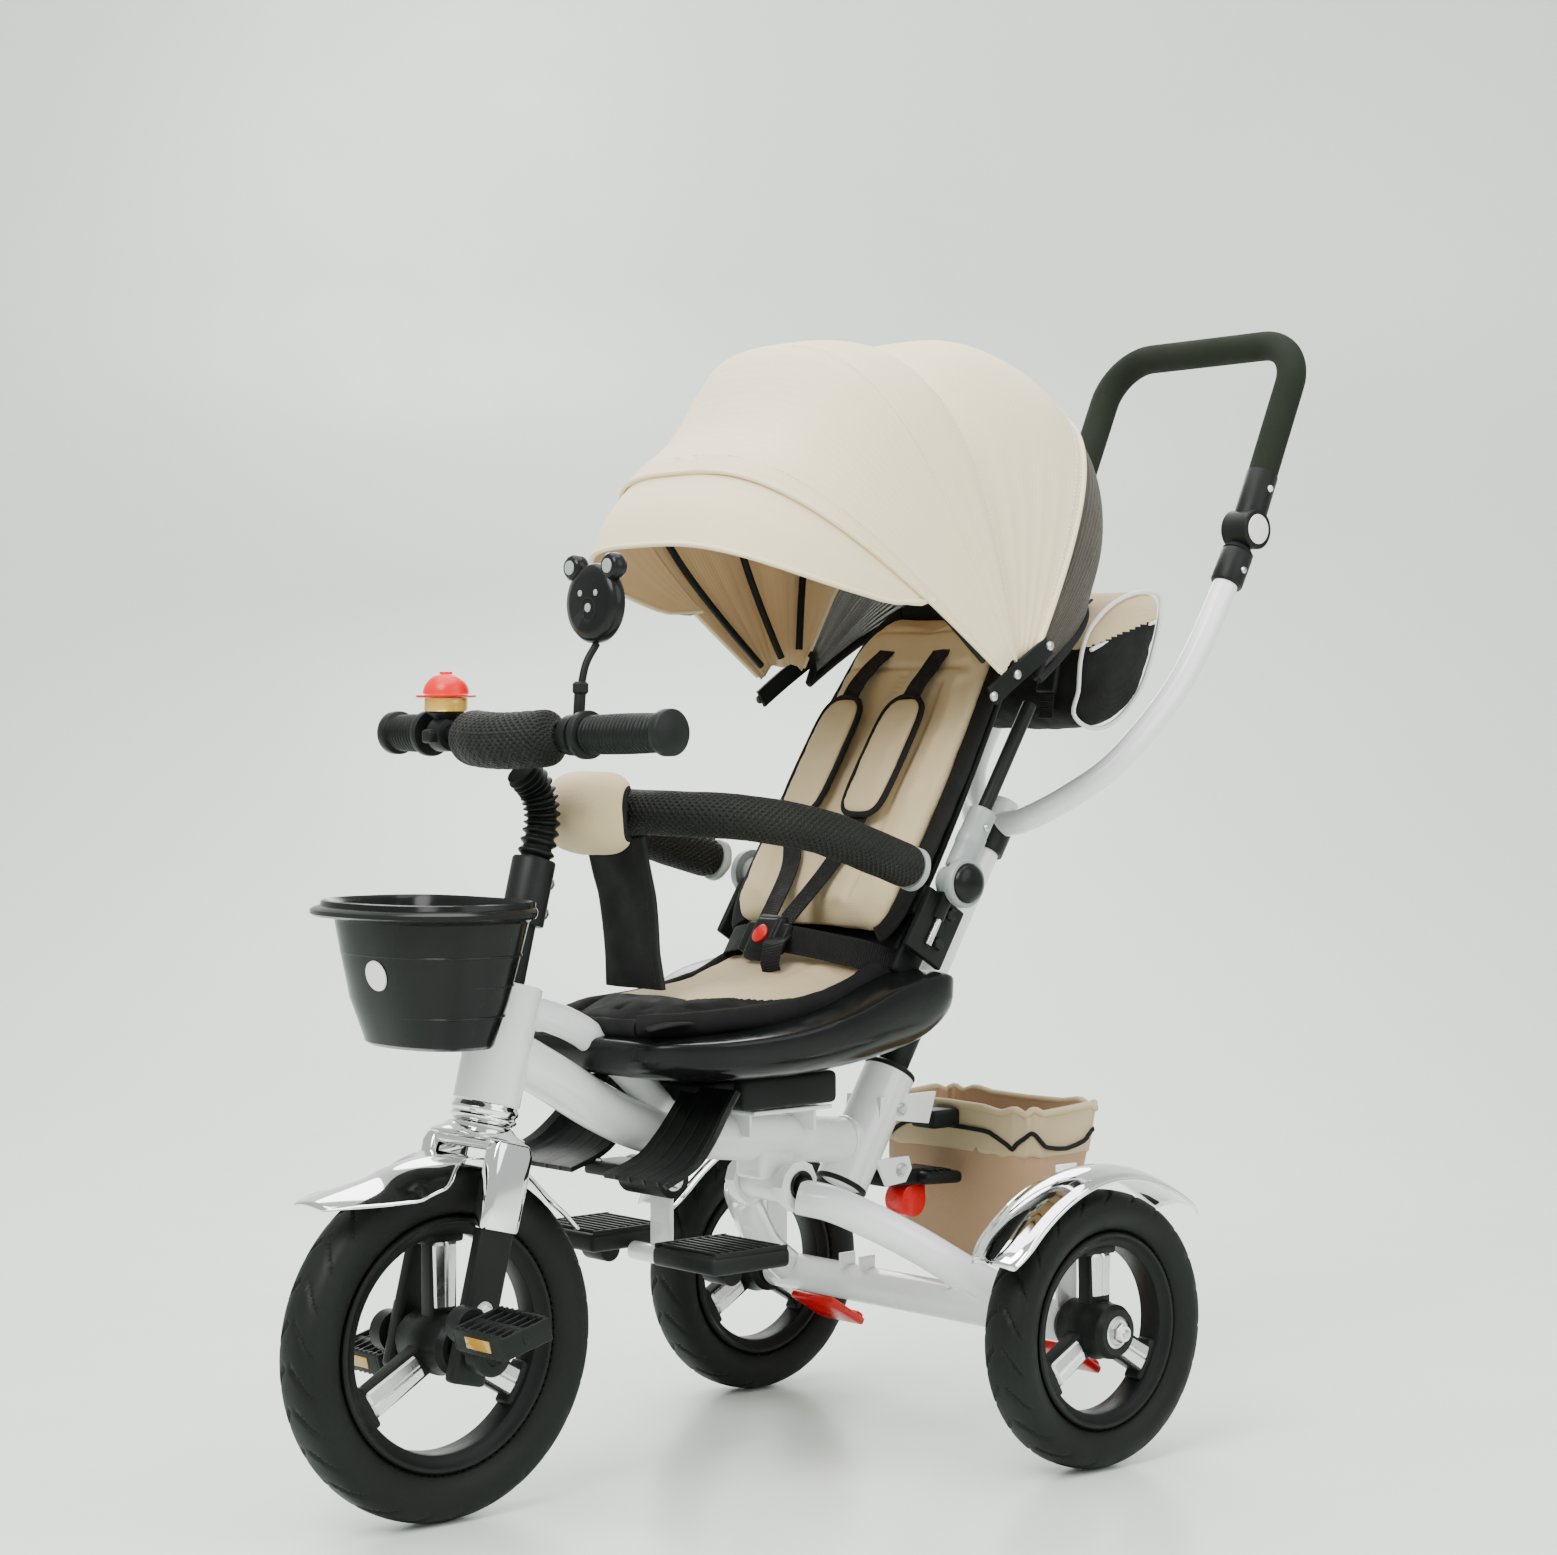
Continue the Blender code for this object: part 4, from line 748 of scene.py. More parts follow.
def on_bar(x):
    """A point on the middle line of the handlebar."""
    share = max(0.0, min(1.0, (abs(x) - 0.09) / 0.06))
    return Vector((x, -0.468 + 0.005 * share, 0.660 + 0.002 * share))


def make_column():
    """Stem, ribbed neck, bent bar and the padded sleeve round its middle."""
    stem = turned([(0.0118, 0.0), (0.0125, 0.0006), (0.0125, 0.0560)], steer(0.3075), STEER, 48)
    stem.add(turned([(0.0125, 0.0), (0.0180, 0.0006), (0.0190, 0.0020), (0.0190, 0.0560), (0.0178, 0.0580),
                     (0.0130, 0.0580)], steer(0.358), STEER, 56))
    stem.add(box((0, -0.4905, 0.478), (0.024, 0.034, 0.030), -HEAD_ANGLE, 0.005))
    neck = flow([steer(0.410), (0, -0.446, 0.585), (0, -0.451, 0.612), (0, -0.468, 0.6295)], 70)
    folds = [1.0 + 0.13 * math.sin(2 * math.pi * 13 * i / (len(neck) - 1)) for i in range(len(neck))]
    stem.add(tube(neck, 0.0143, 32, 0, widths=lambda t: folds[min(len(folds) - 1,
                                                                  int(t * (len(folds) - 1)))]))
    piece("stem_column", stem, SATIN, "fork", ["stem"], 34)
    bolts = hexagon(steer(0.372, 0, -0.0188), -AHEAD, 0.0050, 0.0050)
    bolts.add(hexagon(steer(0.398, 0, -0.0188), -AHEAD, 0.0050, 0.0050), screw((0.0120, -0.4905, 0.478), X))
    piece("stem_bolts", bolts, STEEL, "fork")

    route = [(-0.1945, -0.462, 0.662), (-0.150, -0.463, 0.662), (-0.090, -0.468, 0.660),
             (-0.045, -0.481, 0.657),
             (0, -0.487, 0.655), (0.045, -0.481, 0.657), (0.090, -0.468, 0.660), (0.150, -0.463, 0.662),
             (0.1945, -0.462, 0.662)]
    piece("bent_bar", tube(route, 0.0095, 32, 8), GLOSS, "fork", ["handlebar"])
    pad = flow([(-0.066, -0.4757, 0.6584), (-0.030, -0.4845, 0.656), (0, -0.487, 0.655),
                (0.030, -0.4845, 0.656),
                (0.066, -0.4757, 0.6584)], 14)

    def swell(t):
        return 0.55 + 0.45 * ease(min(t, 1 - t) / 0.09) + 0.012 * math.sin(t * 60)

    piece("bar_pad_sleeve", tube(pad, 0.0243, 48, 0, widths=swell), MESH, "fork", ["bar_foam"],
          60)
    seam = Shape()
    for a, b in zip(pad[3:-3], pad[4:-3]):
        seam.add(rod(a + Vector((0, -0.0236, 0.0060)), a.lerp(b, 0.62) + Vector((0, -0.0236, 0.0060)), 0.0008,
                     edge=0.0002, steps=8))
    piece("bar_pad_stitches", seam, MATTE, "fork")


def make_grips():
    """A ridged rubber grip with a flange and an end cap on each side."""
    for side, word in SIDES:
        inner = 0.0865 if side > 0 else 0.1350
        profile = [(0.0095, 0.0), (0.0198, 0.0), (0.0205, 0.0010), (0.0205, 0.0072), (0.0196, 0.0084)]
        length = 0.1870 - inner
        steps = int(length * 1000 / 0.6)
        for i in range(steps):
            along = 0.0090 + (length - 0.0100) * i / (steps - 1)
            wave = 0.5 - 0.5 * math.cos(2 * math.pi * (along - 0.009) / 0.0046)
            bulge = 0.0010 * math.sin(math.pi * (along / length))
            profile.append((0.0151 + 0.0010 * wave ** 0.6 + bulge, along))
        profile += [(0.0185, length + 0.0002), (0.0195, length + 0.0014), (0.0195, length + 0.0092),
                    (0.0182, length + 0.0105), (0.0001, length + 0.0105)]
        heading = on_bar(0.19 * side) - on_bar(inner * side)
        piece("grip_rubber_" + word, turned(profile, on_bar(inner * side), heading, 56), SATIN, "fork",
              ["grip_" + word], 50)


def make_bell():
    """A red cap on an amber ring, held over the bar by a clamp."""
    at = on_bar(-0.113)
    clamp = rod(at - X * 0.010, at + X * 0.010, 0.0155, edge=0.0020, steps=40)
    clamp.add(box(at + Vector((0, -0.0165, -0.002)), (0.014, 0.012, 0.012), 0.0, 0.003))
    up = Vector((0, 0, 1))
    clamp.add(turned([(0.0095, 0.008), (0.0100, 0.012), (0.0150, 0.0165), (0.0165, 0.0185),
                      (0.0160, 0.0200)], at,
                     up, 48))
    piece("bell_holder", clamp, SATIN, "fork")
    amber_ring = turned([(0.0130, 0.0195), (0.0182, 0.0200), (0.0192, 0.0222), (0.0192, 0.0300),
                         (0.0186, 0.0318),
                         (0.0130, 0.0320)], at, up, 56)
    piece("bell_amber", amber_ring, AMBER, "fork", ["bell_base"])
    dome = [(0.0205 * math.cos(a), 0.0355 + 0.0185 * math.sin(a)) for a in
            (math.radians(7.5 * i) for i in range(13))]
    cap = turned([(0.0100, 0.0322), (0.0255, 0.0322), (0.0267, 0.0330), (0.0268, 0.0342), (0.0215, 0.0358),
                  *dome[:-1], (0.0001, dome[-1][1])], at, up, 64)
    piece("bell_cap", cap, RED, "fork", ["bell_dome"], 50)
    piece("bell_button", turned([(0.0060, 0.0530), (0.0056, 0.0550), (0.0001, 0.0556)], at, up, 32), RED,
          "fork",
          (), 50)


def make_mirror():
    """A round mirror on a thin stalk: a plain bear face in front, the glass towards the rider."""
    foot = on_bar(0.0745)
    neck = rod(foot - X * 0.0060, foot + X * 0.0060, 0.0175, edge=0.0018, steps=40)
    neck.add(rod(foot + Vector((0, 0.004, 0.012)), foot + Vector((0, 0.006, 0.040)), 0.0050))
    neck.add(turned([(0.0050, -0.0020), (0.0068, 0.0), (0.0068, 0.0070), (0.0045, 0.0090)],
                    foot + Vector((0, 0.006, 0.036)), (0, 0, 1), 24))
    neck.add(tube([foot + Vector((0, 0.006, 0.038)), foot + Vector((0, 0.012, 0.060)),
                   Vector((MIRROR.x, MIRROR.y + 0.001, MIRROR.z - 0.0340))], 0.0033, 16, 6))
    piece("mirror_stalk", neck, SATIN, "fork", ["mirror_neck"])
    shell = turned([(0.0001, -0.0060), (0.0240, -0.0062), (0.0310, -0.0045), (0.0338, -0.0005),
                    (0.0338, 0.0062),
                    (0.0322, 0.0086), (0.0296, 0.0090), (0.0286, 0.0074), (0.0001, 0.0070)],
                   MIRROR + Vector((0, -0.0025, 0)), (0, 1, 0), 72)
    for side, _ in SIDES:
        shell.add(turned([(0.0001, -0.0058), (0.0085, -0.0056), (0.0112, -0.0025), (0.0114, 0.0050),
                          (0.0096, 0.0082), (0.0075, 0.0086), (0.0066, 0.0066), (0.0001, 0.0062)],
                         MIRROR + Vector((side * 0.0255, -0.0025, 0.0305)), (0, 1, 0), 40))
    for size, drop in ((0.0110, 0.0), (0.0065, -0.0130)):
        shell.add(turned([(size, -0.0012), (size * 0.93, 0.0006), (size * 0.80, 0.0008),
                          (size * 0.72, -0.0008)],
                         MIRROR + Vector((0, -0.0082, -0.0050 + drop * 0.4)), (0, -1, 0), 40, hollow=True))
    piece("mirror_shell", shell, GLOSS, "fork", ["mirror_head"], 50)
    glass = turned([(0.0001, 0.0074), (0.0284, 0.0074), (0.0284, 0.0078), (0.0276, 0.0080), (0.0001, 0.0080)],
                   MIRROR + Vector((0, -0.0025, 0)), (0, 1, 0), 64)
    piece("mirror_glass", glass, CHROME, "fork")
    face = turned([(0.0042, -0.001), (0.0036, 0.0006), (0.0001, 0.0012)],
                  MIRROR + Vector((0, -0.0086, -0.0040)), (0, -1, 0), 24)
    for side, _ in SIDES:
        face.add(turned([(0.0030, -0.001), (0.0026, 0.0006), (0.0001, 0.0010)],
                        MIRROR + Vector((side * 0.0105, -0.0084, 0.0085)), (0, -1, 0), 20))
        face.add(turned([(0.0064, -0.001), (0.0060, 0.0006), (0.0001, 0.0010)],
                        MIRROR + Vector((side * 0.0255, -0.0082, 0.0305)), (0, -1, 0), 24))
    piece("mirror_face", face, GREY, "fork")


def basket_ring(half, front, rear, z, steps=96):
    """One level of the front tub: rounder in front and squarer behind."""
    middle, ring = (front + rear) / 2, []
    for c, s in circle(steps):
        p = 0.62 if s > 0 else 0.85
        ring.append(Vector((half * bulge(c, p),
                            middle + (rear - front) / 2 * bulge(s, p), z)))
    return ring


def make_front_basket():
    """The front tub with its rolled rim, ribs, badge and screws."""
    def back(z):
        return -0.5285 + 0.25 * (z - 0.400)

    table = [(0.4000, 0.0600, -0.602), (0.4030, 0.0645, -0.6065), (0.4080, 0.0660, -0.608),
             (0.4400, 0.078, -0.618),
             (0.4800, 0.086, -0.626), (0.5050, 0.0905, -0.6305), (0.5080, 0.0960, -0.638),
             (0.5084, 0.1030, -0.647),
             (0.5105, 0.1056, -0.6504), (0.5140, 0.1056, -0.6506), (0.5160, 0.1030, -0.6480),
             (0.5175, 0.0990, -0.6430), (0.5215, 0.0978, -0.6420), (0.5222, 0.0960, -0.6400),
             (0.5180, 0.0910, -0.634), (0.5050, 0.0875, -0.628), (0.4400, 0.0750, -0.615),
             (0.4050, 0.0620, -0.604)]
    rows = [basket_ring(half, front, back(z) - (0.0028 if i > 12 else 0.0), z)
            for i, (z, half, front) in enumerate(table)]
    tub = Shape().rows(rows, ring=True, ends=True)
    tub.add(box((0, -0.5190, 0.470), (0.030, 0.020, 0.040), -HEAD_ANGLE, 0.004))
    piece("front_tub", tub, GLOSS, "fork", ["front_basket"], 35)
    ribs = Shape()
    for level in (0.4275, 0.4530, 0.4780):
        share = (level - 0.4080) / 0.097
        half, front = 0.0660 + 0.0245 * share ** 0.8, -0.608 - 0.0225 * share
        ring = basket_ring(half + 0.0006, front - 0.0006, back(level) + 0.0006, level, 64)
        ribs.add(tube(ring, 0.0010, 8, 1, closed=True))
    piece("front_tub_ribs", ribs, GLOSS, "fork")
    disc = turned([(0.0130, 0.0002), (0.0126, 0.0016), (0.0110, 0.0020), (0.0001, 0.0022)],
                  (0.0080, -0.6225, 0.4620), Vector((0.05, -0.97, -0.22)), 48)
    piece("front_tub_badge", disc, PIPING, "fork")
    holes = Shape()
    for z in (0.462, 0.482):
        holes.add(screw((0.0, -0.5075, z), (0, 1, 0.2)))
    piece("front_tub_screws", holes, STEEL, "fork")


# ---------------------------------------------------------------- crank and pedals

PEDAL_UP = Vector((0, -0.022, 0.027))


def make_crank():
    """The crank through the front hub and a caged pedal on each arm."""
    shape = rod(HUB - X * 0.068, HUB + X * 0.068, 0.0070)
    for side, _ in SIDES:
        boss = HUB + X * side * 0.070
        shape.add(turned([(0.0125, -0.0090), (0.0180, -0.0080), (0.0180, 0.0070), (0.0165, 0.0088),
                          (0.0090, 0.0092), (0.0080, 0.0080), (0.0001, 0.0080)], boss, X * side, 48))
        tip = boss + PEDAL_UP * side
        shape.add(turned([(0.0110, -0.0085), (0.0155, -0.0078), (0.0155, 0.0072), (0.0140, 0.0085),
                          (0.0070, 0.0085)], tip, X * side, 40))
        shape.add(box(boss + PEDAL_UP * side * 0.5, (0.0150, 0.0240, 0.0300), side * math.radians(39.2),
                      0.003))
        shape.add(rod(tip, tip + X * side * 0.0840, 0.0045, steps=20))
    piece("crank_arms", shape, SATIN, "front_wheel", ["crankset"], 36)
    for side, word in SIDES:
        centre = HUB + X * side * 0.119 + PEDAL_UP * side
        turn = Matrix.Translation(centre) @ Matrix.Rotation(0.25, 4, "X")
        shape = rod((-0.033, 0, 0), (0.033, 0, 0), 0.0082)
        for x in (-0.0325, 0.0325):
            shape.add(box((x, 0, 0), (0.0030, 0.0490, 0.0190), 0.0, 0.0010))
        for y in (-0.0225, 0.0225):
            shape.add(box((0, y, 0), (0.0640, 0.0045, 0.0200), 0.0, 0.0015))
        for x in (-0.021, -0.0105, 0.0, 0.0105, 0.021):
            shape.add(box((x, 0, 0), (0.0022, 0.0440, 0.0170), 0.0, 0.0006))
        for y in (-0.0225, 0.0225):
            for i in range(9):
                for z in (0.0096, -0.0096):
                    shape.add(box((-0.0280 + 0.0070 * i, y, z), (0.0030, 0.0040, 0.0022), 0.0, 0.0006))
        shape.moved(lambda point: turn @ Vector(point))
        piece("pedal_cage_" + word, shape, SATIN, "pedal_" + word, ["pedal_" + word])
        lens = Shape()
        for y in (-0.0250, 0.0250):
            lens.add(box((0, y, 0), (0.0330, 0.0012, 0.0100), 0.0, 0.0005))
        lens.moved(lambda point: turn @ Vector(point))
        piece("pedal_reflector_" + word, lens, AMBER, "pedal_" + word)


# ---------------------------------------------------------------- push handle


def make_handle():
    """The push post, its two curved tubes and the folding foam hoop."""
    shape = rod(POST_FOOT + LEAN * 0.006, POST_FOOT + LEAN * 0.416, 0.0142, steps=40)
    shape.add(rod(POST_FOOT + LEAN * 0.365, POST_FOOT + LEAN * 0.410, 0.0165, steps=40))
    for side, _ in SIDES:
        route = [(0.008, 0.108, 0.572), (0.034, 0.117, 0.578), (0.065, 0.145, 0.600), (0.096, 0.180, 0.634),
                 (0.114, 0.232, 0.692), (0.122, 0.265, 0.740), (0.126, 0.303, 0.805), (0.126, 0.322, 0.838)]
        shape.add(tube([(side * x, y, z) for x, y, z in route], 0.0125, 36, 8))
    piece("push_bars", shape, WHITE, "frame", ["push_tubes"], 40)
    start, corner, height = 0.015, 0.050, 0.213
    path = [HOOP + HOOP_LEAN * (start + (height - corner - start) * k / 4) for k in range(5)]
    for k in range(1, 9):
        a = math.pi / 2 * k / 8
        path.append(HOOP + HOOP_LEAN * (height - corner + corner * math.sin(a))
                    - X * corner * (1 - math.cos(a)))
    for k in range(1, 8):
        path.append(HOOP + HOOP_LEAN * height - X * (corner + 2 * (HOOP.x - corner) * k / 8))
    path += [Vector((-point.x, point.y, point.z)) for point in path[12::-1]]
    foam = tube(path, 0.0150, 36, 4, widths=lambda t: 0.80 + 0.20 * ease(min(t, 1 - t) / 0.012))
    piece("hoop_foam_grip", foam, FOAM, "hoop", ["handle_hoop"], 60)
    hubs, caps, pins = Shape(), Shape(), Shape()
    for side, word in SIDES:
        place = Vector((side * HOOP.x, HOOP.y, HOOP.z))
        hubs.add(turned([(0.0120, -0.0160), (0.0190, -0.0160), (0.0200, -0.0148), (0.0200, 0.0148),
                         (0.0190, 0.0160), (0.0120, 0.0160)], place, X, 56))
        hubs.add(rod(place, place + HOOP_LEAN * 0.062, 0.0160, steps=40))
        caps.add(turned([(0.0150, 0.0158), (0.0140, 0.0172), (0.0001, 0.0178)], place, X * side, 40))
        caps.add(screw(place + HOOP_LEAN * 0.045 + X * side * 0.0155, X * side))
        sleeve = rod((side * 0.126, 0.3235, 0.8405), (side * 0.126, 0.3268, 0.8462), 0.0160, 0.0120)
        start, end = Vector((side * 0.126, 0.3055, 0.8080)), Vector((side * 0.126, 0.3235, 0.8405))
        sleeve.add(turned([(0.0128, 0.0), (0.0152, 0.0008), (0.0162, 0.0025), (0.0162, 0.0340),
                           (0.0150, 0.0372)],
                          start, end - start, 40))
        piece("hoop_socket_" + word, sleeve, SATIN, "frame", ["hoop_sleeve_" + word])
        pins.add(screw(start.lerp(end, 0.45) + X * side * 0.0160, X * side))
    piece("hoop_knuckles", hubs, SATIN, "hoop")
    piece("hoop_knuckle_caps", caps, PIPING, "hoop")
    piece("hoop_socket_screws", pins, STEEL, "frame")
    collar = turned([(0.0150, 0.360), (0.0178, 0.361), (0.0180, 0.384), (0.0170, 0.386), (0.0150, 0.386)],
                    POST_FOOT, LEAN, 44)
    collar.add(rod(POST_FOOT + LEAN * 0.1200, POST_FOOT + LEAN * 0.1700, 0.0149, steps=40))
    piece("post_clamp", collar, SATIN, "frame")


# ---------------------------------------------------------------- soft goods


def apply(obj, modifier):
    """Makes one modifier's result the mesh."""
    for other in bpy.context.selected_objects:
        other.select_set(False)
    obj.select_set(True)
    bpy.context.view_layer.objects.active = obj
    bpy.ops.object.modifier_apply(modifier=modifier.name)


def puff(obj, voxel=0.005, pressure=4.0, cap=0.009, turn=SEAT_LEAN):
    """Swells a closed cushion like stuffing under its cover, and keeps every point near its start."""
    remesh = obj.modifiers.new("voxel", "REMESH")
    remesh.mode, remesh.voxel_size = "VOXEL", voxel
    apply(obj, remesh)
    start = [vertex.co.copy() for vertex in obj.data.vertices]
    cloth = obj.modifiers.new("stuffing", "CLOTH")
    cloth.settings.use_pressure = True
    cloth.settings.uniform_pressure_force = pressure
    cloth.settings.effector_weights.gravity = 0.0
    cloth.settings.quality = 5
    cloth.point_cache.frame_start, cloth.point_cache.frame_end = 1, 20
    for number in range(1, 21):
        bpy.context.scene.frame_set(number)
    apply(obj, cloth)
    bpy.context.scene.frame_set(1)
    for vertex, first in zip(obj.data.vertices, start):
        step = vertex.co - first
        if step.length > cap:
            vertex.co = first + step.normalized() * cap
    smooth = obj.modifiers.new("smooth", "SUBSURF")
    smooth.levels = smooth.render_levels = 1
    apply(obj, smooth)
    lay_weave(obj, turn)
    obj.data.polygons.foreach_set("use_smooth", [True] * len(obj.data.polygons))


def lay_weave(obj, turn):
    """Gives each corner its place on the cloth, seen square to a panel leaning back by turn."""
    mesh = obj.data
    weave = mesh.uv_layers.get("weave") or mesh.uv_layers.new(name="weave")
    up = Vector((0, math.sin(turn), math.cos(turn)))
    for loop in mesh.loops:
        point = mesh.vertices[loop.vertex_index].co
        weave.data[loop.index].uv = (point.x, point.dot(up))


def sew(obj, lines, depth=0.003, width=0.006):
    """Pulls the cushion's skin in along sewn lines, each a run of points in the design's frame."""
    mesh = obj.data
    points = [world(point) for line in lines for point in flow(line, 16)]
    tree = kd.KDTree(len(points))
    for i, point in enumerate(points):
        tree.insert(point, i)
    tree.balance()
    normals = [vertex.normal.copy() for vertex in mesh.vertices]
    for vertex, normal in zip(mesh.vertices, normals):
        distance = tree.find(vertex.co)[2]
        if distance < width * 2:
            vertex.co -= normal * depth * math.exp(-(distance / (width * 0.5)) ** 2)


def wrinkle(obj, size, scale):
    """Soft uneven folds in cloth, the same each time."""
    mesh = obj.data
    normals = [vertex.normal.copy() for vertex in mesh.vertices]
    for vertex, normal in zip(mesh.vertices, normals):
        vertex.co += normal * size * waves.noise(vertex.co * scale)


def stitches(route, length=0.0030, gap=0.0016, radius=0.00035, lift=Vector((0, 0, 0))):
    """A run of short raised threads along a route."""
    path = [point + lift for point in flow(route, 12)]
    shape, travelled, thread = Shape(), 0.0, []
    for a, b in zip(path, path[1:]):
        travelled += (b - a).length
        if travelled % (length + gap) < length:
            thread.append(b)
        elif len(thread) > 1:
            shape.add(tube(thread, radius, 6, 0))
            thread = []
        else:
            thread = []
    return shape


def lean_frame(up, out, x=0.0):
    """A point up the seat back from the seat, and out in front of it."""
    return Vector((x, -0.119, 0.440)) + LEAN * up + OUT * out


def loft_rings(rings, table):
    """A closed form through the rings that the table gives."""
    return Shape().rows([rings(*row) for row in table], ring=True, ends=True)


def shell_section(y, half, low, high, count=48):
    """A cross section of the seat pan: flat rolled rim, curved flanks and a rounded keel."""
    ring = []
    for c, s in circle(count):
        power = 0.42 if s > 0 else 0.62
        x = half * bulge(c, power)
        middle = high - 0.006
        z = middle + (0.006 if s > 0 else middle - low) * bulge(s, power)
        ring.append(Vector((x, y, z)))
    return ring


def smooth_rows(table, per=4):
    """Finer stations between the given ones."""
    made = []
    rows = [table[0], *table, table[-1]]
    for stations in zip(rows, rows[1:], rows[2:], rows[3:]):
        for t in (i / per for i in range(per)):
            made.append(tuple(between(t, *column) for column in zip(*stations)))
    return made + [tuple(table[-1])]


def make_seat():
    """The seat pan, the block under it and the cushion with its black border."""
    side = [(-0.402, 0.070, 0.378, 0.394), (-0.392, 0.100, 0.366, 0.398), (-0.345, 0.132, 0.358, 0.400),
            (-0.276, 0.147, 0.356, 0.406), (-0.215, 0.153, 0.357, 0.420), (-0.160, 0.155, 0.362, 0.440),
            (-0.115, 0.154, 0.372, 0.448), (-0.092, 0.146, 0.388, 0.444), (-0.086, 0.130, 0.400, 0.430)]
    outer = [shell_section(*row) for row in smooth_rows(side)]
    shape = Shape().rows(outer, ring=True, ends=True)
    piece("seat_pan", shape, GLOSS, "frame", ["seat_shell", "seat_base"], 50)
    block = box((0, -0.205, 0.3395), (0.106, 0.116, 0.0300), 0.0, 0.006)
    for x in (-0.036, -0.012, 0.012, 0.036):
        block.add(box((x, -0.2625, 0.3395), (0.003, 0.002, 0.026), 0.0, 0.0008))
    piece("seat_block", block, SATIN, "frame")

    def pad_ring(y, half, low, high, crown, count=40):
        ring = []
        for c, s in circle(count):
            x = half * bulge(c, 0.55)
            top = high + crown * (1 - (x / half) ** 2) - 0.5 * (high + low)
            z = 0.5 * (high + low) + (top if s > 0 else 0.5 * (high - low)) * bulge(s, 0.6)
            ring.append(Vector((x, y, z)))
        return ring

    table = [(-0.380, 0.046, 0.401, 0.409, 0.002), (-0.368, 0.060, 0.4005, 0.413, 0.004),
             (-0.325, 0.084, 0.4000, 0.419, 0.005), (-0.250, 0.094, 0.4020, 0.427, 0.006),
             (-0.190, 0.097, 0.4120, 0.440, 0.008), (-0.150, 0.096, 0.4320, 0.452, 0.006),
             (-0.140, 0.094, 0.4360, 0.452, 0.004)]
    cushion = Shape().rows([pad_ring(*row) for row in smooth_rows(table)], ring=True, ends=True)
    pad = piece("seat_pad", cushion, BEIGE, "", ["seat_cushion"], 60)
    puff(pad, 0.0045, 3.0, 0.005, math.pi / 2)
    pad.data.materials.append(BORDER)
    for face in pad.data.polygons:
        back = face.center.y - AXLE_Y + 0.322
        face.material_index = int(back < 0 or abs(face.center.x) > 0.046 + 0.36 * back)
    sew(pad, [[(0, -0.360, 0.418), (0, -0.300, 0.426), (0, -0.220, 0.440), (0, -0.160, 0.458)],
              *[[(x * 0.55, -0.355, 0.416), (x, -0.300, 0.424), (x, -0.220, 0.438), (x, -0.160, 0.456)]
                for x in (-0.052, 0.052)]], 0.0035, 0.008)
    wrinkle(pad, 0.0014, 26)
    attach(pad, "frame")
    border = Shape()
    for side_sign, _ in SIDES:
        route = [(side_sign * (half + 0.004), y, 0.5 * (low + high) + 0.002) for y, half, low, high,
                 _ in table]
        border.add(tube(route, 0.0105, 20, 6, flat=0.75))
    front = [(x, -0.380 - 0.004 * math.cos(x / 0.03), 0.405) for x in (-0.050, -0.025, 0, 0.025, 0.050)]
    border.add(tube(front, 0.0085, 20, 6, flat=0.75))
    skirt = []
    for k in range(41):
        x = -0.094 + 0.188 * k / 40
        corner = ease((abs(x) - 0.062) / 0.030)
        skirt.append([Vector((x * (1 - 0.05 * t), -0.352 - 0.030 * t - 0.016 * corner * t * t,
                              0.4105 - 0.006 * t * t + 0.0012 * math.sin(x * 190) * t + 0.004 * corner * t))
                      for t in (i / 10 for i in range(11))])
    front_skirt = piece("seat_front_skirt", Shape().rows(skirt), BORDER, "frame", (), 60,
                        thick=0.0022)
    edge = piece("seat_pad_border", border, BORDER, "", (), 60)
    wrinkle(edge, 0.0010, 60)
    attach(edge, "frame")


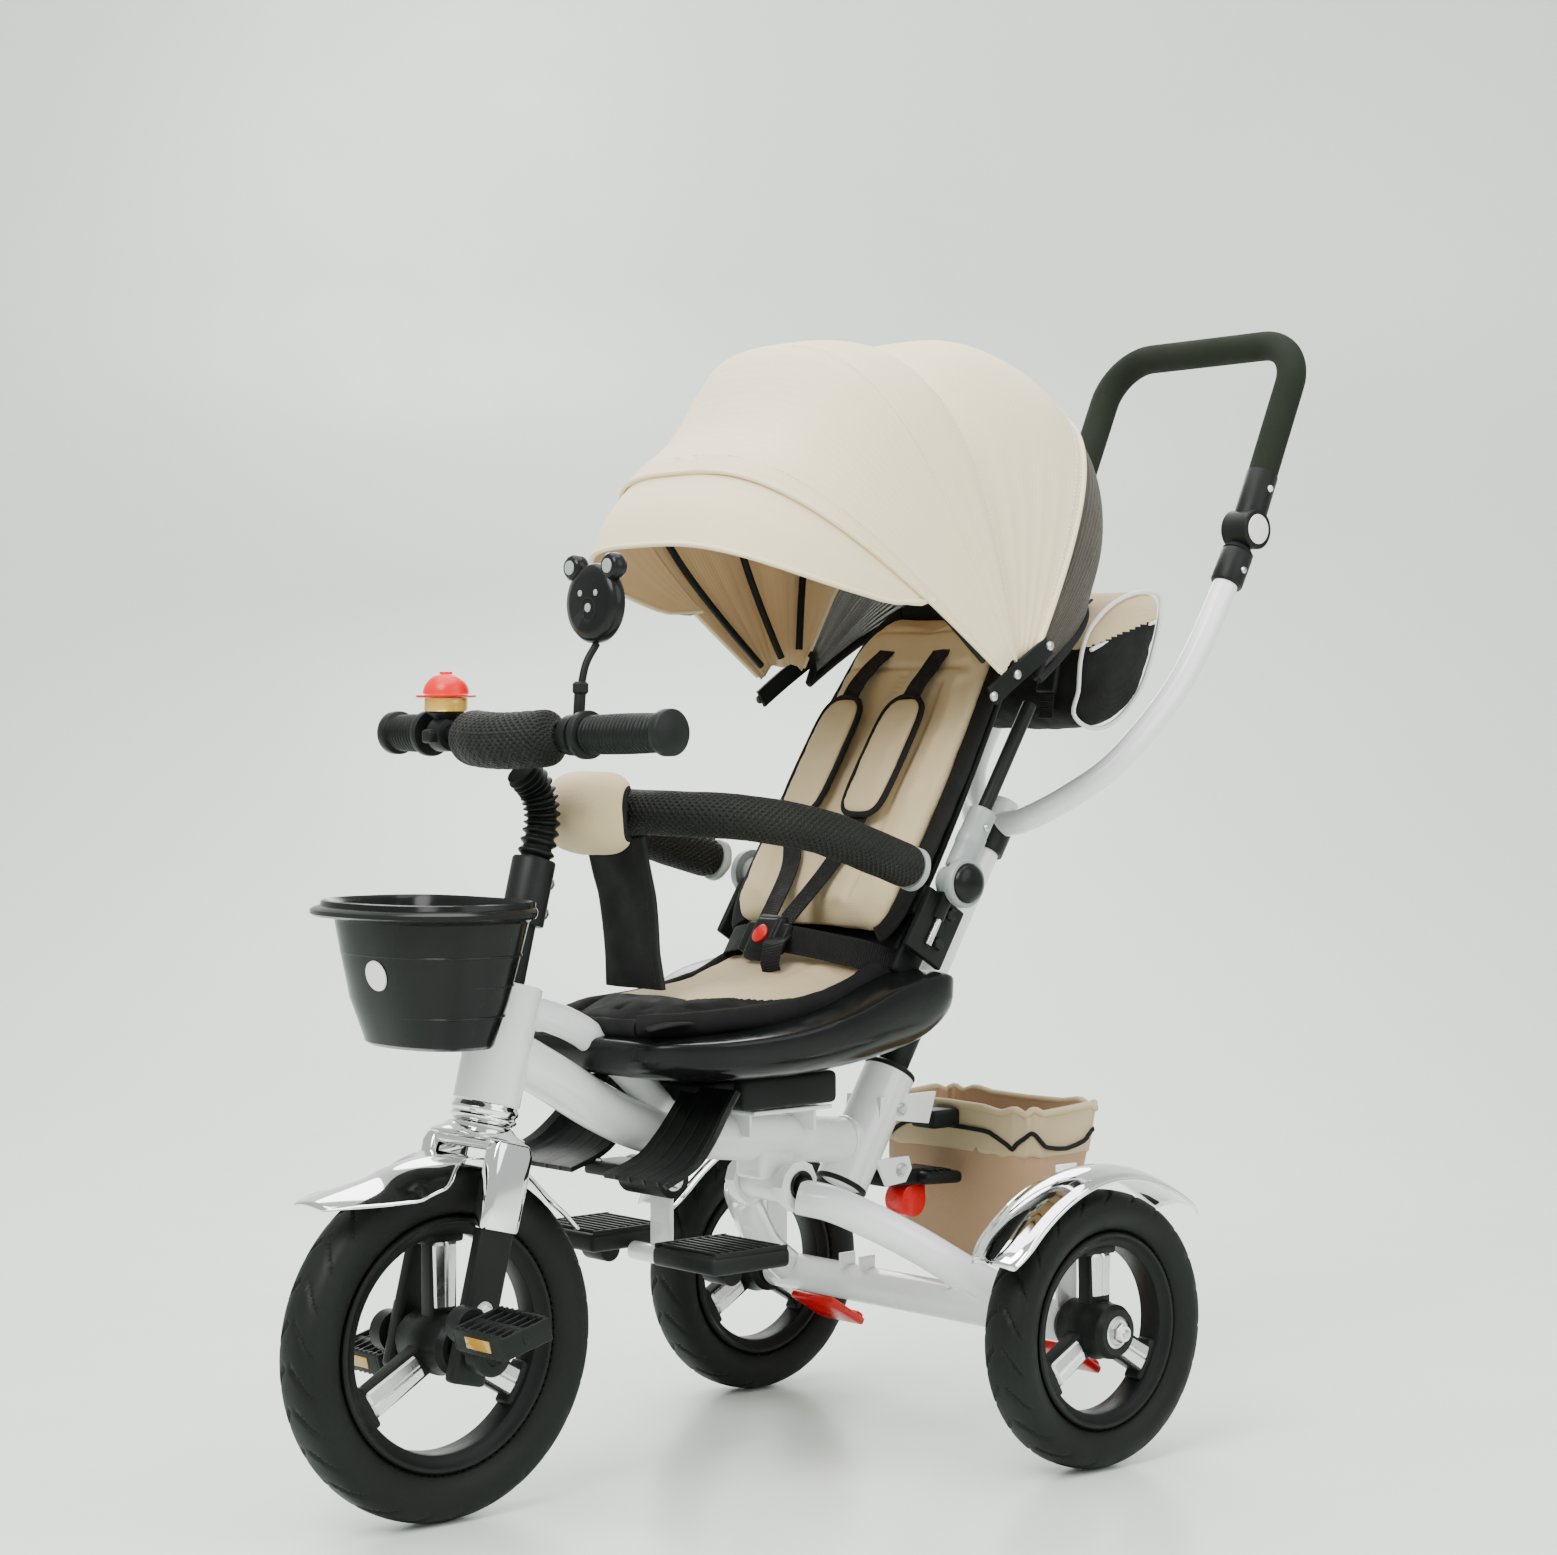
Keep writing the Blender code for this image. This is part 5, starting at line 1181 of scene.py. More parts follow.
def make_back():
    """The back pan, the hinge cover and the sewn back cushion."""
    def ring(up, half, rear, front, count=40):
        made = []
        for c, s in circle(count):
            x = half * bulge(c, 0.5)
            out = 0.5 * (rear + front) + 0.5 * (front - rear) * bulge(s, 0.6)
            out -= 0.006 * max(0.0, 1 - (x / half) ** 2) * (1 if s > 0 else 0)
            made.append(lean_frame(up, out, x))
        return made

    shell = loft_rings(ring, smooth_rows([(0.020, 0.102, 0.013, 0.020), (0.026, 0.108, 0.012, 0.026),
                                          (0.10, 0.112, 0.012, 0.026), (0.22, 0.106, 0.012, 0.026),
                                          (0.33, 0.094, 0.012, 0.026), (0.366, 0.074, 0.012, 0.025),
                                          (0.373, 0.062, 0.014, 0.020)]))
    for side, _ in SIDES:
        shell.add(box((side * 0.1125, -0.098, 0.505), (0.021, 0.030, 0.030), -SEAT_LEAN, 0.004))
    piece("back_pan", shell, SATIN, "frame", ["backrest_shell"], 50)
    table = [(0.024, 0.092, 0.029, 0.044), (0.034, 0.100, 0.028, 0.052), (0.060, 0.106, 0.027, 0.058),
             (0.15, 0.108, 0.027, 0.060), (0.25, 0.102, 0.027, 0.058), (0.33, 0.092, 0.027, 0.056),
             (0.362, 0.078, 0.028, 0.050), (0.374, 0.064, 0.030, 0.044)]
    cover = box((0, -0.1090, 0.4560), (0.196, 0.0180, 0.040), -SEAT_LEAN, 0.006)
    for side, _ in SIDES:
        cover.add(box((side * 0.1060, -0.1060, 0.4660), (0.0120, 0.0300, 0.060), -SEAT_LEAN, 0.004))
    piece("back_hinge_cover", cover, SATIN, "frame")
    pad = piece("back_pad", loft_rings(ring, smooth_rows(table)), BEIGE, "",
                ["back_cushion"], 60)
    puff(pad, 0.005, 3.5, 0.006)
    lines = [[lean_frame(0.300, 0.060, x) for x in (-0.085, -0.04, 0, 0.04, 0.085)],
             [lean_frame(0.345, 0.056, x) for x in (-0.070, -0.035, 0, 0.035, 0.070)]]
    for x in (-0.068, 0.068):
        lines.append([lean_frame(up, 0.060, x * (1 - 0.25 * abs(up - 0.16) / 0.16)) for up in (0.05, 0.12,
                                                                                               0.20, 0.28)])
    lines.append([lean_frame(up, 0.056, 0) for up in (0.05, 0.12, 0.20, 0.29)])
    sew(pad, lines, 0.0035, 0.008)
    wrinkle(pad, 0.0016, 24)
    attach(pad, "frame")
    band = Shape()
    for side, _ in SIDES:
        route = [lean_frame(up, 0.036, side * (half + 0.0015)) for up, half, _, _ in table]
        band.add(tube(route, 0.0105, 20, 6, flat=0.50))
    band.add(tube([lean_frame(0.376, 0.036, x) for x in (-0.062, -0.03, 0, 0.03, 0.062)], 0.0085, 20, 6,
                  flat=0.7))
    edge = piece("back_pad_border", band, BORDER, "", (), 60)
    wrinkle(edge, 0.0008, 50)
    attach(edge, "frame")


def strap(points, width, across, thickness=0.0016):
    """A flat strap along a curve, its width lying along one direction."""
    path = flow(points, 10)
    rows = []
    for i, point in enumerate(path):
        heading = (path[min(i + 1, len(path) - 1)] - path[max(i - 1, 0)]).normalized()
        side = across[0].lerp(across[1], i / (len(path) - 1)) if isinstance(across, tuple) else across
        side = (side - heading * side.dot(heading)).normalized()
        normal = heading.cross(side)
        ring = []
        for x, z in ((-1, -0.5), (-1.02, 0), (-1, 0.5), (-0.86, 0.62), (-0.80, 0.5), (0, 0.5), (0.80, 0.5),
                     (0.86, 0.62), (1, 0.5), (1.02, 0), (1, -0.5), (0.8, -0.5), (0, -0.5), (-0.8, -0.5)):
            ring.append(point + side * x * width / 2 + normal * z * thickness)
        rows.append(ring)
    return Shape().rows(rows, ring=True, ends=True)


def make_harness():
    """Shoulder straps with pads, the waist belt and its buckle."""
    webs, bows = Shape(), Shape()
    for side, word in SIDES:
        x = side * 0.042
        webs.add(strap([lean_frame(0.318, 0.057, x * 0.9), lean_frame(0.290, 0.066, x),
                        lean_frame(0.255, 0.072, x),
                        lean_frame(0.190, 0.0655, x), lean_frame(0.132, 0.070, x),
                        lean_frame(0.104, 0.068, x * 0.9), lean_frame(0.070, 0.066, x * 0.6),
                        Vector((side * 0.012, -0.180, 0.486))], 0.022, X))

        def ring(up, half, rear, front):
            made = []
            for c, s in circle(28):
                out = 0.5 * (rear + front) + 0.5 * (front - rear) * bulge(s, 0.7)
                made.append(lean_frame(up, out, x + half * bulge(c, 0.6)))
            return made

        table = [(0.128, 0.016, 0.0690, 0.0740), (0.134, 0.023, 0.0680, 0.0770),
                 (0.150, 0.0255, 0.0675, 0.0790),
                 (0.200, 0.0260, 0.0675, 0.0800), (0.236, 0.0240, 0.0675, 0.0785),
                 (0.250, 0.0180, 0.0680, 0.0760),
                 (0.254, 0.0100, 0.0690, 0.0740)]
        pad = piece("shoulder_cushion_" + word, loft_rings(ring, smooth_rows(table)), BEIGE, "",
                    ["shoulder_pad_" + word], 60)
        puff(pad, 0.004, 2.0, 0.0025)
        wrinkle(pad, 0.0006, 60)
        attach(pad, "frame")
        edge = [(0.127, 0.0), (0.131, 0.019), (0.150, 0.026), (0.200, 0.0268), (0.238, 0.0245),
                (0.252, 0.014),
                (0.256, 0.0), (0.252, -0.014), (0.238, -0.0245), (0.200, -0.0268), (0.150, -0.026),
                (0.131, -0.019)]
        bows.add(tube([lean_frame(up, 0.0735, x + dx) for up, dx in edge], 0.0030, 12, 5, closed=True))
    piece("shoulder_straps", webs, WEBBING, "frame")
    piece("shoulder_binding", bows, BORDER, "frame", (), 60)
    belt = strap([(0.104, -0.128, 0.452), (0.092, -0.150, 0.461), (0.070, -0.172, 0.468),
                  (0.030, -0.186, 0.474), (0, -0.187, 0.474),
                  (-0.030, -0.186, 0.474), (-0.070, -0.172, 0.468), (-0.092, -0.150, 0.461),
                  (-0.104, -0.128, 0.452)], 0.027, LEAN)
    belt.add(strap([(0.020, -0.191, 0.476), (0.030, -0.206, 0.470), (0.034, -0.214, 0.456),
                    (0.036, -0.214, 0.446)], 0.024, X))
    piece("waist_belt", belt, WEBBING, "frame", ["waist_harness"])
    place = Vector((0, -0.189, 0.474))
    buckle = box(place, (0.036, 0.0120, 0.046), -SEAT_LEAN, 0.005)
    buckle.add(box(place + OUT * 0.0040, (0.030, 0.0080, 0.036), -SEAT_LEAN, 0.0035))
    for side, _ in SIDES:
        buckle.add(box(place + X * side * 0.022, (0.014, 0.009, 0.030), -SEAT_LEAN, 0.003))
    piece("harness_buckle", buckle, SATIN, "frame")
    button = turned([(0.0090, 0.0070), (0.0090, 0.0095), (0.0078, 0.0104), (0.0001, 0.0108)], place, OUT, 32)
    piece("buckle_button", button, RED, "frame")


# ---------------------------------------------------------------- brackets and bumper


def make_uprights():
    """The pole beside each side of the seat back, with its plate, grey sleeve and knob."""
    for side, word in SIDES:
        foot = Vector((side * 0.132, -0.1005, 0.493))
        pole = rod(foot, foot + LEAN * 0.230, 0.0068, steps=28)
        pole.add(box(foot + Vector((-side * 0.0035, 0, -0.008)), (0.0070, 0.050, 0.060), -SEAT_LEAN, 0.002))
        for up in (-0.018, 0.012):
            pole.add(hexagon(foot + LEAN * up + OUT * -0.012 + X * side * 0.0002, X * side, 0.0060, 0.0045))
        piece("upright_pole_" + word, pole, SATIN, "frame", ["upright_" + word])
        slot = rod(foot + LEAN * -0.026 + X * side * 0.0030, foot + LEAN * 0.014 + X * side * 0.0030, 0.0032)
        piece("upright_slot_rod_" + word, slot, STEEL, "frame")
        middle = foot + LEAN * 0.083
        sleeve = turned([(0.0071, -0.031), (0.0120, -0.031), (0.0130, -0.0298), (0.0130, -0.006),
                         (0.0136, -0.005),
                         (0.0136, 0.005), (0.0130, 0.006), (0.0130, 0.0298), (0.0120, 0.031),
                         (0.0071, 0.031)],
                        middle, LEAN, 40)
        boss = foot + LEAN * 0.039
        sleeve.add(turned([(0.0120, -0.008), (0.0150, -0.007), (0.0150, 0.010), (0.0135, 0.012),
                           (0.0001, 0.012)],
                          boss, X * side, 40))
        sleeve.add(turned([(0.0180, 0.0105), (0.0222, 0.0112), (0.0225, 0.0128), (0.0225, 0.0180),
                           (0.0212, 0.0200), (0.0185, 0.0202)], boss, X * side, 56))
        piece("bracket_sleeve_" + word, sleeve, GREY, "frame", ["bracket_" + word])
        knob = turned([(0.0185, 0.0180), (0.0182, 0.0215), (0.0160, 0.0250), (0.0110, 0.0272),
                       (0.0001, 0.0280)],
                      boss, X * side, 48)
        piece("bracket_knob_" + word, knob, GLOSS, "frame", (), 50)
        piece("bracket_screw_" + word, screw(middle + X * side * 0.0128 + LEAN * 0.014, X * side, 0.0038),
              STEEL,
              "frame")


def make_bumper():
    """The mesh-covered bumper bar, its clamps, centre cover and crotch flap."""
    half = [(0.136, -0.136, 0.541), (0.144, -0.187, 0.556), (0.143, -0.255, 0.577), (0.124, -0.322, 0.589),
            (0.080, -0.356, 0.592), (0.030, -0.366, 0.593)]
    route = half + [(0, -0.3675, 0.593)] + [(-x, y, z) for x, y, z in half[::-1]]
    path = flow(route, 14)
    lumps = [0.965 + 0.022 * waves.noise(point * 34) + 0.010 * waves.noise(point * 90) for point in path]
    last = len(path) - 1
    sleeve = tube(path, 0.0205, 48, 0,
                  widths=lambda t: lumps[int(t * last)] * (0.80 + 0.20 * ease(min(t, 1 - t) / 0.015)))
    cover = piece("bumper_sleeve", sleeve, MESH, "bumper", ["bumper_bar"], 60)
    clamps, screws = Shape(), Shape()
    for side, _ in SIDES:
        start, end = Vector((side * 0.136, -0.137, 0.541)), Vector((side * 0.136, -0.1235, 0.537))
        clamps.add(turned([(0.0100, 0.0), (0.0190, 0.0005), (0.0200, 0.0020), (0.0200, 0.0060),
                           (0.0125, 0.0085),
                           (0.0120, 0.0135)], start, end - start, 40))
        screws.add(screw(start.lerp(end, 0.5) + X * side * 0.0145, X * side, 0.0030))
    piece("bumper_clamps", clamps, GREY, "bumper")
    piece("bumper_screws", screws, STEEL, "bumper")

    rows = []
    for x, depth, tall in smooth_rows([(-0.047, 0.006, 0.62), (-0.0455, 0.014, 0.76), (-0.030, 0.030, 0.95),
                                       (0.0, 0.036, 1.0), (0.030, 0.030, 0.95), (0.0455, 0.014, 0.76),
                                       (0.047, 0.006, 0.62)]):
        row = []
        for k in range(33):
            a = math.radians(-4 + 188 * k / 32)
            row.append(Vector((x, -0.3880 - depth * max(0.0, math.sin(a)) ** 0.8,
                               0.592 + 0.035 * tall * math.cos(a))))
        rows.append(row)
    cup = piece("bumper_centre_cover", Shape().rows(rows), BEIGE, "bumper", ["bumper_cup"],
                60,
                thick=0.0016)
    wrinkle(cup, 0.0008, 50)
    trim = Shape()
    for row in (rows[0], rows[-1]):
        trim.add(tube(row[::2], 0.0032, 12, 2))
    piece("bumper_cover_trim", trim, BORDER, "bumper")

    stations = [(0.0400, -0.3660, 0.572), (0.0385, -0.3600, 0.545), (0.0365, -0.3525, 0.520),
                (0.0360, -0.3485, 0.495),
                (0.0362, -0.3460, 0.470), (0.0390, -0.3435, 0.448), (0.0400, -0.3425, 0.437)]
    rows = []
    for half_x, y, z in smooth_rows(stations, 6):
        rows.append([Vector((half_x * (-1 + 2 * k / 24), y - 0.0022 * math.sin(math.pi * k / 24)
                             - 0.0010 * math.sin(9 * k / 24 + 40 * z), z)) for k in range(25)])
    flap = piece("crotch_flap", Shape().rows(rows), BORDER, "bumper", ["bumper_flap"], 60,
                 thick=0.0024)
    edge = Shape()
    for column in (0, 24):
        edge.add(tube([row[column] for row in rows[::4]], 0.0022, 10, 4))
    for inset in (2, 22):
        edge.add(stitches([row[inset] + Vector((0, -0.0022, 0)) for row in rows[::4]]))
    piece("crotch_flap_binding", edge, MATTE, "bumper", (), 60)


# ---------------------------------------------------------------- footrest


def make_footrest():
    """The two halves of the calf plate, the hanger and the folding foot pads."""
    table = [(-0.302, 0.3505, 0.106), (-0.318, 0.332, 0.109), (-0.337, 0.310, 0.114), (-0.360, 0.292, 0.120),
             (-0.396, 0.280, 0.127)]
    stations = smooth_rows(table, 8)

    def row_at(y, z, half, gap):
        row = []
        for side in (-1, 1):
            marks = [1.0, 0.985, 0.93, 0.885, 0.865]
            marks += [0.865 - (0.865 - gap / half) * k / 72 for k in range(1, 73)]
            if side > 0:
                marks = marks[::-1]
            for share in marks:
                wide = abs(share)
                lip = 0.013 * ease((wide - 0.86) / 0.09)
                ridge = max(0.0, math.cos(wide * 0.11 / 0.0170 * 2 * math.pi)) ** 8
                rib = 0.0007 * ridge * ease((wide - 0.28) / 0.04) * ease((0.84 - wide) / 0.04)
                row.append(Vector((side * half * share, y - 0.0015 - lip - rib,
                                   z + 0.003 * ease((wide - 0.9) / 0.1))))
        return row

    plates = Shape()
    for side in (-1, 1):
        rows = []
        for y, z, half in stations:
            full = row_at(y, z, half, 0.0228 if z < 0.345 else 0.0152)
            rows.append(full[:77] if side < 0 else full[77:])
        plates.add(Shape().rows(rows))
    piece("calf_shield", plates, SATIN, "frame", ["calf_plate"], 45, thick=-0.0045,
          bevel=0.0008)
    fittings = rod((-0.030, -0.323, 0.268), (0.030, -0.323, 0.268), 0.0170, steps=40)
    fittings.add(box((0, -0.352, 0.2775), (0.070, 0.044, 0.0120), 0.0, 0.003))
    fittings.add(box((0, -0.2862, 0.3430), (0.090, 0.045, 0.0170), 0.0, 0.004))
    piece("footrest_fittings", fittings, SATIN, "frame")
    bolts = Shape()
    for side, _ in SIDES:
        bolts.add(hexagon((side * 0.0300, -0.323, 0.268), X * side, 0.0075, 0.0050))
        bolts.add(screw((side * 0.024, -0.366, 0.2838), (0, 0, 1), 0.0040))
    piece("footrest_bolts", bolts, STEEL, "frame")
    bar = box((0, -0.3125, 0.2264), (0.028, 0.006, 0.0504), 0.0, 0.002)
    bar.add(rod((-0.0360, -0.315, 0.197), (0.0360, -0.315, 0.197), 0.0085, steps=32))
    piece("foot_hanger", bar, WHITE, "frame", ["foot_bar"])
    for side, word in SIDES:
        pad = box((side * 0.084, -0.315, 0.2060), (0.086, 0.088, 0.0170), 0.0, 0.005)
        for i in range(9):
            pad.add(box((side * 0.084, -0.3510 + 0.0090 * i, 0.2155), (0.074, 0.0034, 0.0036), 0.0, 0.0012))
        for x in (-0.0405, 0.0405):
            pad.add(box((side * 0.084 + x, -0.315, 0.2150), (0.0030, 0.082, 0.0046), 0.0, 0.0012))
        pad.add(rod((side * 0.070, -0.315, 0.193), (side * 0.100, -0.315, 0.193), 0.0110, steps=28))
        piece("foot_plate_" + word, pad, SATIN, "foot_pad_" + word, ["foot_pad_" + word])


# ---------------------------------------------------------------- canopy

CREASE = 11.6
HOOD = [(-56, .182), (-50, .215), (-44, .262), (-37, .2976), (-28, .318), (-16, .336), (-5, .341), (4, .335),
        (CREASE, .3165), (18, .345), (27.6, .360), (32, .352), (38, .338), (44, .333), (50.8, .3405), (54.5,
                                                                                                       .3425),
        (67, .3450)]


def hood_radius(degrees):
    """The arch's height at each angle, sagging softly between the bows."""
    for i in range(len(HOOD) - 1):
        a, ra = HOOD[i]
        b, rb = HOOD[i + 1]
        if degrees <= b:
            t = max(0.0, (degrees - a) / (b - a))
            before = HOOD[max(0, i - 1)]
            after = HOOD[min(len(HOOD) - 1, i + 2)]
            sa = (rb - ra) * 1.25 if a == CREASE else (rb - before[1]) / (b - before[0]) * (b - a)
            sb = (rb - ra) * 1.25 if b == CREASE else (after[1] - ra) / (after[0] - a) * (b - a)
            return ((2 * t ** 3 - 3 * t * t + 1) * ra + (t ** 3 - 2 * t * t + t) * sa
                    + (3 * t * t - 2 * t ** 3) * rb + (t ** 3 - t * t) * sb)
    return HOOD[-1][1]


def hood_point(degrees, share, width, radius):
    """A point on a bow's arch: share runs from one side, 0, over the ridge to the other, 1."""
    power = 2 / 3.1
    angle = math.pi * share
    x = -width * bulge(math.cos(angle), power)
    reach = radius * math.sin(angle) ** power
    turn = math.radians(degrees)
    return CANOPY + Vector((x, -reach * math.sin(turn), reach * math.cos(turn)))


def hood_width(degrees):
    """Half the hood's width at each angle."""
    return 0.1575 + 0.0085 * ease((degrees - 6) / 12)


def hood_row(degrees, lift=0.0, first=0.010, count=121):
    """One arch of the hood cloth, with fine pleats low on its sides."""
    row = []
    for k in range(count):
        share = first + (1 - 2 * first) * k / (count - 1)
        side = abs(2 * share - 1)
        pleat = 0.0022 * ease((side - 0.52) / 0.25) * math.sin(math.radians(degrees) * 26 + 3 * side)
        pull = 0.0016 * math.sin(share * 23) * math.sin(math.radians(degrees) * 9)
        row.append(hood_point(degrees, share, hood_width(degrees) + lift * 0.5 - abs(pleat) * 0.4,
                              hood_radius(degrees) + lift + pleat + pull))
    return row


def seam_along(degrees, lift, first=0.03, count=60):
    """The run of a seam across the hood."""
    return [hood_point(degrees, first + (1 - 2 * first) * k / count, hood_width(degrees) + lift * 0.6,
                       hood_radius(degrees) + lift) for k in range(count + 1)]


def hood_blend(obj):
    """Bakes the piece's placement into its mesh."""
    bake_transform(obj)


def make_canopy():
    """Hood, visor, net window, seams, bows and the link plates at the pivots."""
    angles = [-28 + 82.5 * i / 110 for i in range(111)]
    cloth = Shape().rows([hood_row(a) for a in angles])
    # The hood's and visor's inner faces take the lining tone, which is partly painted light shining through
    # the cloth.
    hood = piece("canopy_cloth", cloth, [CREAM, LIT_LINING], "",
                 ["canopy_hood_rear", "canopy_hood_front"],
                 75, thick=-0.0012)
    hood_blend(hood)

    rows = []
    for i in range(25):
        t = i / 24
        row = []
        for k in range(101):
            side = -0.84 + 1.68 * k / 100
            width = 15.0 * max(0.0, 1 - (abs(side) / 0.84) ** 6) ** 0.5
            degrees = 52 + width * t
            share = 0.5 + side / 2
            radius = hood_radius(52) - 0.003 + 0.0065 * ease(t * 1.2)
            row.append(hood_point(degrees, share, 0.1640, radius + 0.003 * math.sin(math.pi * t)))
        rows.append(row)
    visor = Shape().rows(rows)
    brim = piece("canopy_visor", visor, [CREAM, LIT_LINING], "canopy_front", (), 75,
                 thick=-0.0016)

    binding = Shape()
    binding.add(tube(rows[-1][::4], 0.0024, 10, 2))
    piece("canopy_visor_piping", binding, CREAM, "canopy_front", (), 60)
    hem = tube(seam_along(54.2, 0.0008, 0.012), 0.0022, 10, 2)
    piece("canopy_hem", hem, CREAM, "canopy_front", (), 60)
    for name, degrees in (("front", 50.8), ("valley", 11.6), ("ridge", 27.6), ("rear_a", -24.8),
                          ("rear_b", -26.6)):
        line = piece("canopy_seam_" + name, stitches(seam_along(degrees, 0.0012, 0.02), radius=0.0005),
                     PIPING, "",
                     (), 60)
        hood_blend(line)
    piece("canopy_rear_binding", tube(seam_along(-28, 0.0004, 0.012), 0.0030, 12, 2), CREAM, "frame",
          (), 60)

    window = [hood_row(a, -0.0006, 0.02, 81) for a in [-55 + 27.5 * i / 30 for i in range(31)]]
    net_shape = Shape().rows(window)
    net = piece("canopy_window", net_shape, NET, "frame", (), 75, thick=0.0005)
    binding = tube(seam_along(-55.4, 0.0, 0.02), 0.0042, 12, 2)
    for first in (0, -1):
        binding.add(tube([row[first] for row in window[::3]], 0.0040, 12, 2))
    piece("canopy_window_binding", binding, BORDER, "frame", (), 60)

    for name, body, degrees, width, radius in (("rear", "frame", -2, 0.1450, 0.304),
                                               ("mid", "canopy_mid", 30, 0.1420, 0.292),
                                               ("front", "canopy_front", 50, 0.1530, 0.319)):
        route = [hood_point(degrees, 0.020 + 0.960 * k / 40, width, radius) for k in range(41)]
        piece("canopy_strip_" + name, tube(route, 0.0036, 16, 2), SATIN, body,
              ["canopy_bow_" + name], 60)
    links = Shape()
    rivets = Shape()
    for side, _ in SIDES:
        arc = [Vector((side * 0.1595, 0.0170, 0.7420)), Vector((side * 0.1595, -0.0260, 0.7150)),
               Vector((side * 0.1590, -0.0560, 0.6950))]
        links.add(strap(arc, 0.018, LEAN, 0.0030))
        for place in arc:
            rivets.add(turned([(0.0046, 0.0), (0.0042, 0.0016), (0.0020, 0.0026), (0.0001, 0.0028)],
                              place + X * side * 0.0014, X * side, 20))
    piece("canopy_links", links, SATIN, "frame")
    piece("canopy_rivets", rivets, STEEL, "frame")


# ---------------------------------------------------------------- bag and rear basket


def make_storage_bag():
    """The bag behind the seat, black below and beige on top, with piping and straps."""
    outline = [(0.125, 0.700), (0.118, 0.678), (0.140, 0.664), (0.175, 0.668), (0.215, 0.700), (0.238, 0.745),
               (0.2495, 0.790), (0.238, 0.803), (0.205, 0.800), (0.170, 0.786), (0.140, 0.760),
               (0.128, 0.730)]
    middle = Vector((0, 0.185, 0.738))
    path = flow([(0, y, z) for y, z in outline], 4, closed=True)
    rings = []
    for x, shrink in smooth_rows([(-0.101, 0.72), (-0.097, 0.86), (-0.088, 0.93), (-0.060, 0.96), (0, 0.97),
                                  (0.060, 0.96), (0.088, 0.93), (0.097, 0.86), (0.101, 0.72)], 3):
        rings.append([middle + (point - middle) * shrink * 0.985 + X * x for point in path])
    bag = piece("handle_bag", Shape().rows(rings, ring=True, ends=True), [BORDER, BEIGE], "",
                ["storage_bag"], 60)
    puff(bag, 0.005, 2.5, 0.005, 0.6)
    fold = AXLE_Y + 0.172
    for face in bag.data.polygons:
        centre = face.center
        face.material_index = int(centre.z > 0.7560 + 0.34 * (centre.y - fold) - 0.9 * (centre.y - fold) ** 2)
    wrinkle(bag, 0.0022, 22)
    wrinkle(bag, 0.0008, 70)
    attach(bag, "frame")
    edges = Shape()
    for side, _ in SIDES:
        loop = [middle + (point - middle) * 0.955 + X * side * 0.0935 for point in path]
        edges.add(tube(loop[::2], 0.0022, 10, 2, closed=True))
    for side, _ in SIDES:
        edges.add(tube([(side * 0.1005, y, 0.7540 + 0.34 * (y - 0.172) - 0.9 * (y - 0.172) ** 2) for y in
                        (0.138, 0.155, 0.172, 0.190, 0.210, 0.230)], 0.0020, 10, 6))
    piece("handle_bag_piping", edges, PIPING, "frame", (), 60)
    straps = Shape()
    for x in (-0.060, 0.060):
        straps.add(strap([(x, 0.1750, 0.7920), (x, 0.1440, 0.7690), (x, 0.1270, 0.7330), (x, 0.1200, 0.7000),
                          (x, 0.1180, 0.6760)], 0.018, X))
    piece("handle_bag_straps", straps, WEBBING, "frame")
    clips = Shape()
    for x in (-0.060, 0.060):
        clips.add(box((x, 0.1220, 0.7150), (0.024, 0.008, 0.030), -0.25, 0.003))
    piece("handle_bag_clips", clips, SATIN, "frame")


def tub_ring(half, front, rear, z, sag, gather, steps=144):
    """One level of the rear tub, sagging along its sides and gathered towards the rim."""
    middle = (front + rear) / 2
    ring = []
    for k in range(steps):
        a = 2 * math.pi * k / steps
        x = half * bulge(math.cos(a), 0.32)
        y = middle + (rear - front) / 2 * bulge(math.sin(a), 0.32)
        folds = math.sin(17 * a) + 0.7 * math.sin(29 * a + 1) - 1.2
        pull = 1 + sag * (math.cos(4 * a) - 0.4) + gather * folds
        ring.append(Vector((x * pull, middle + (y - middle) * pull, z + gather * 0.35 * math.sin(11 * a))))
    return ring


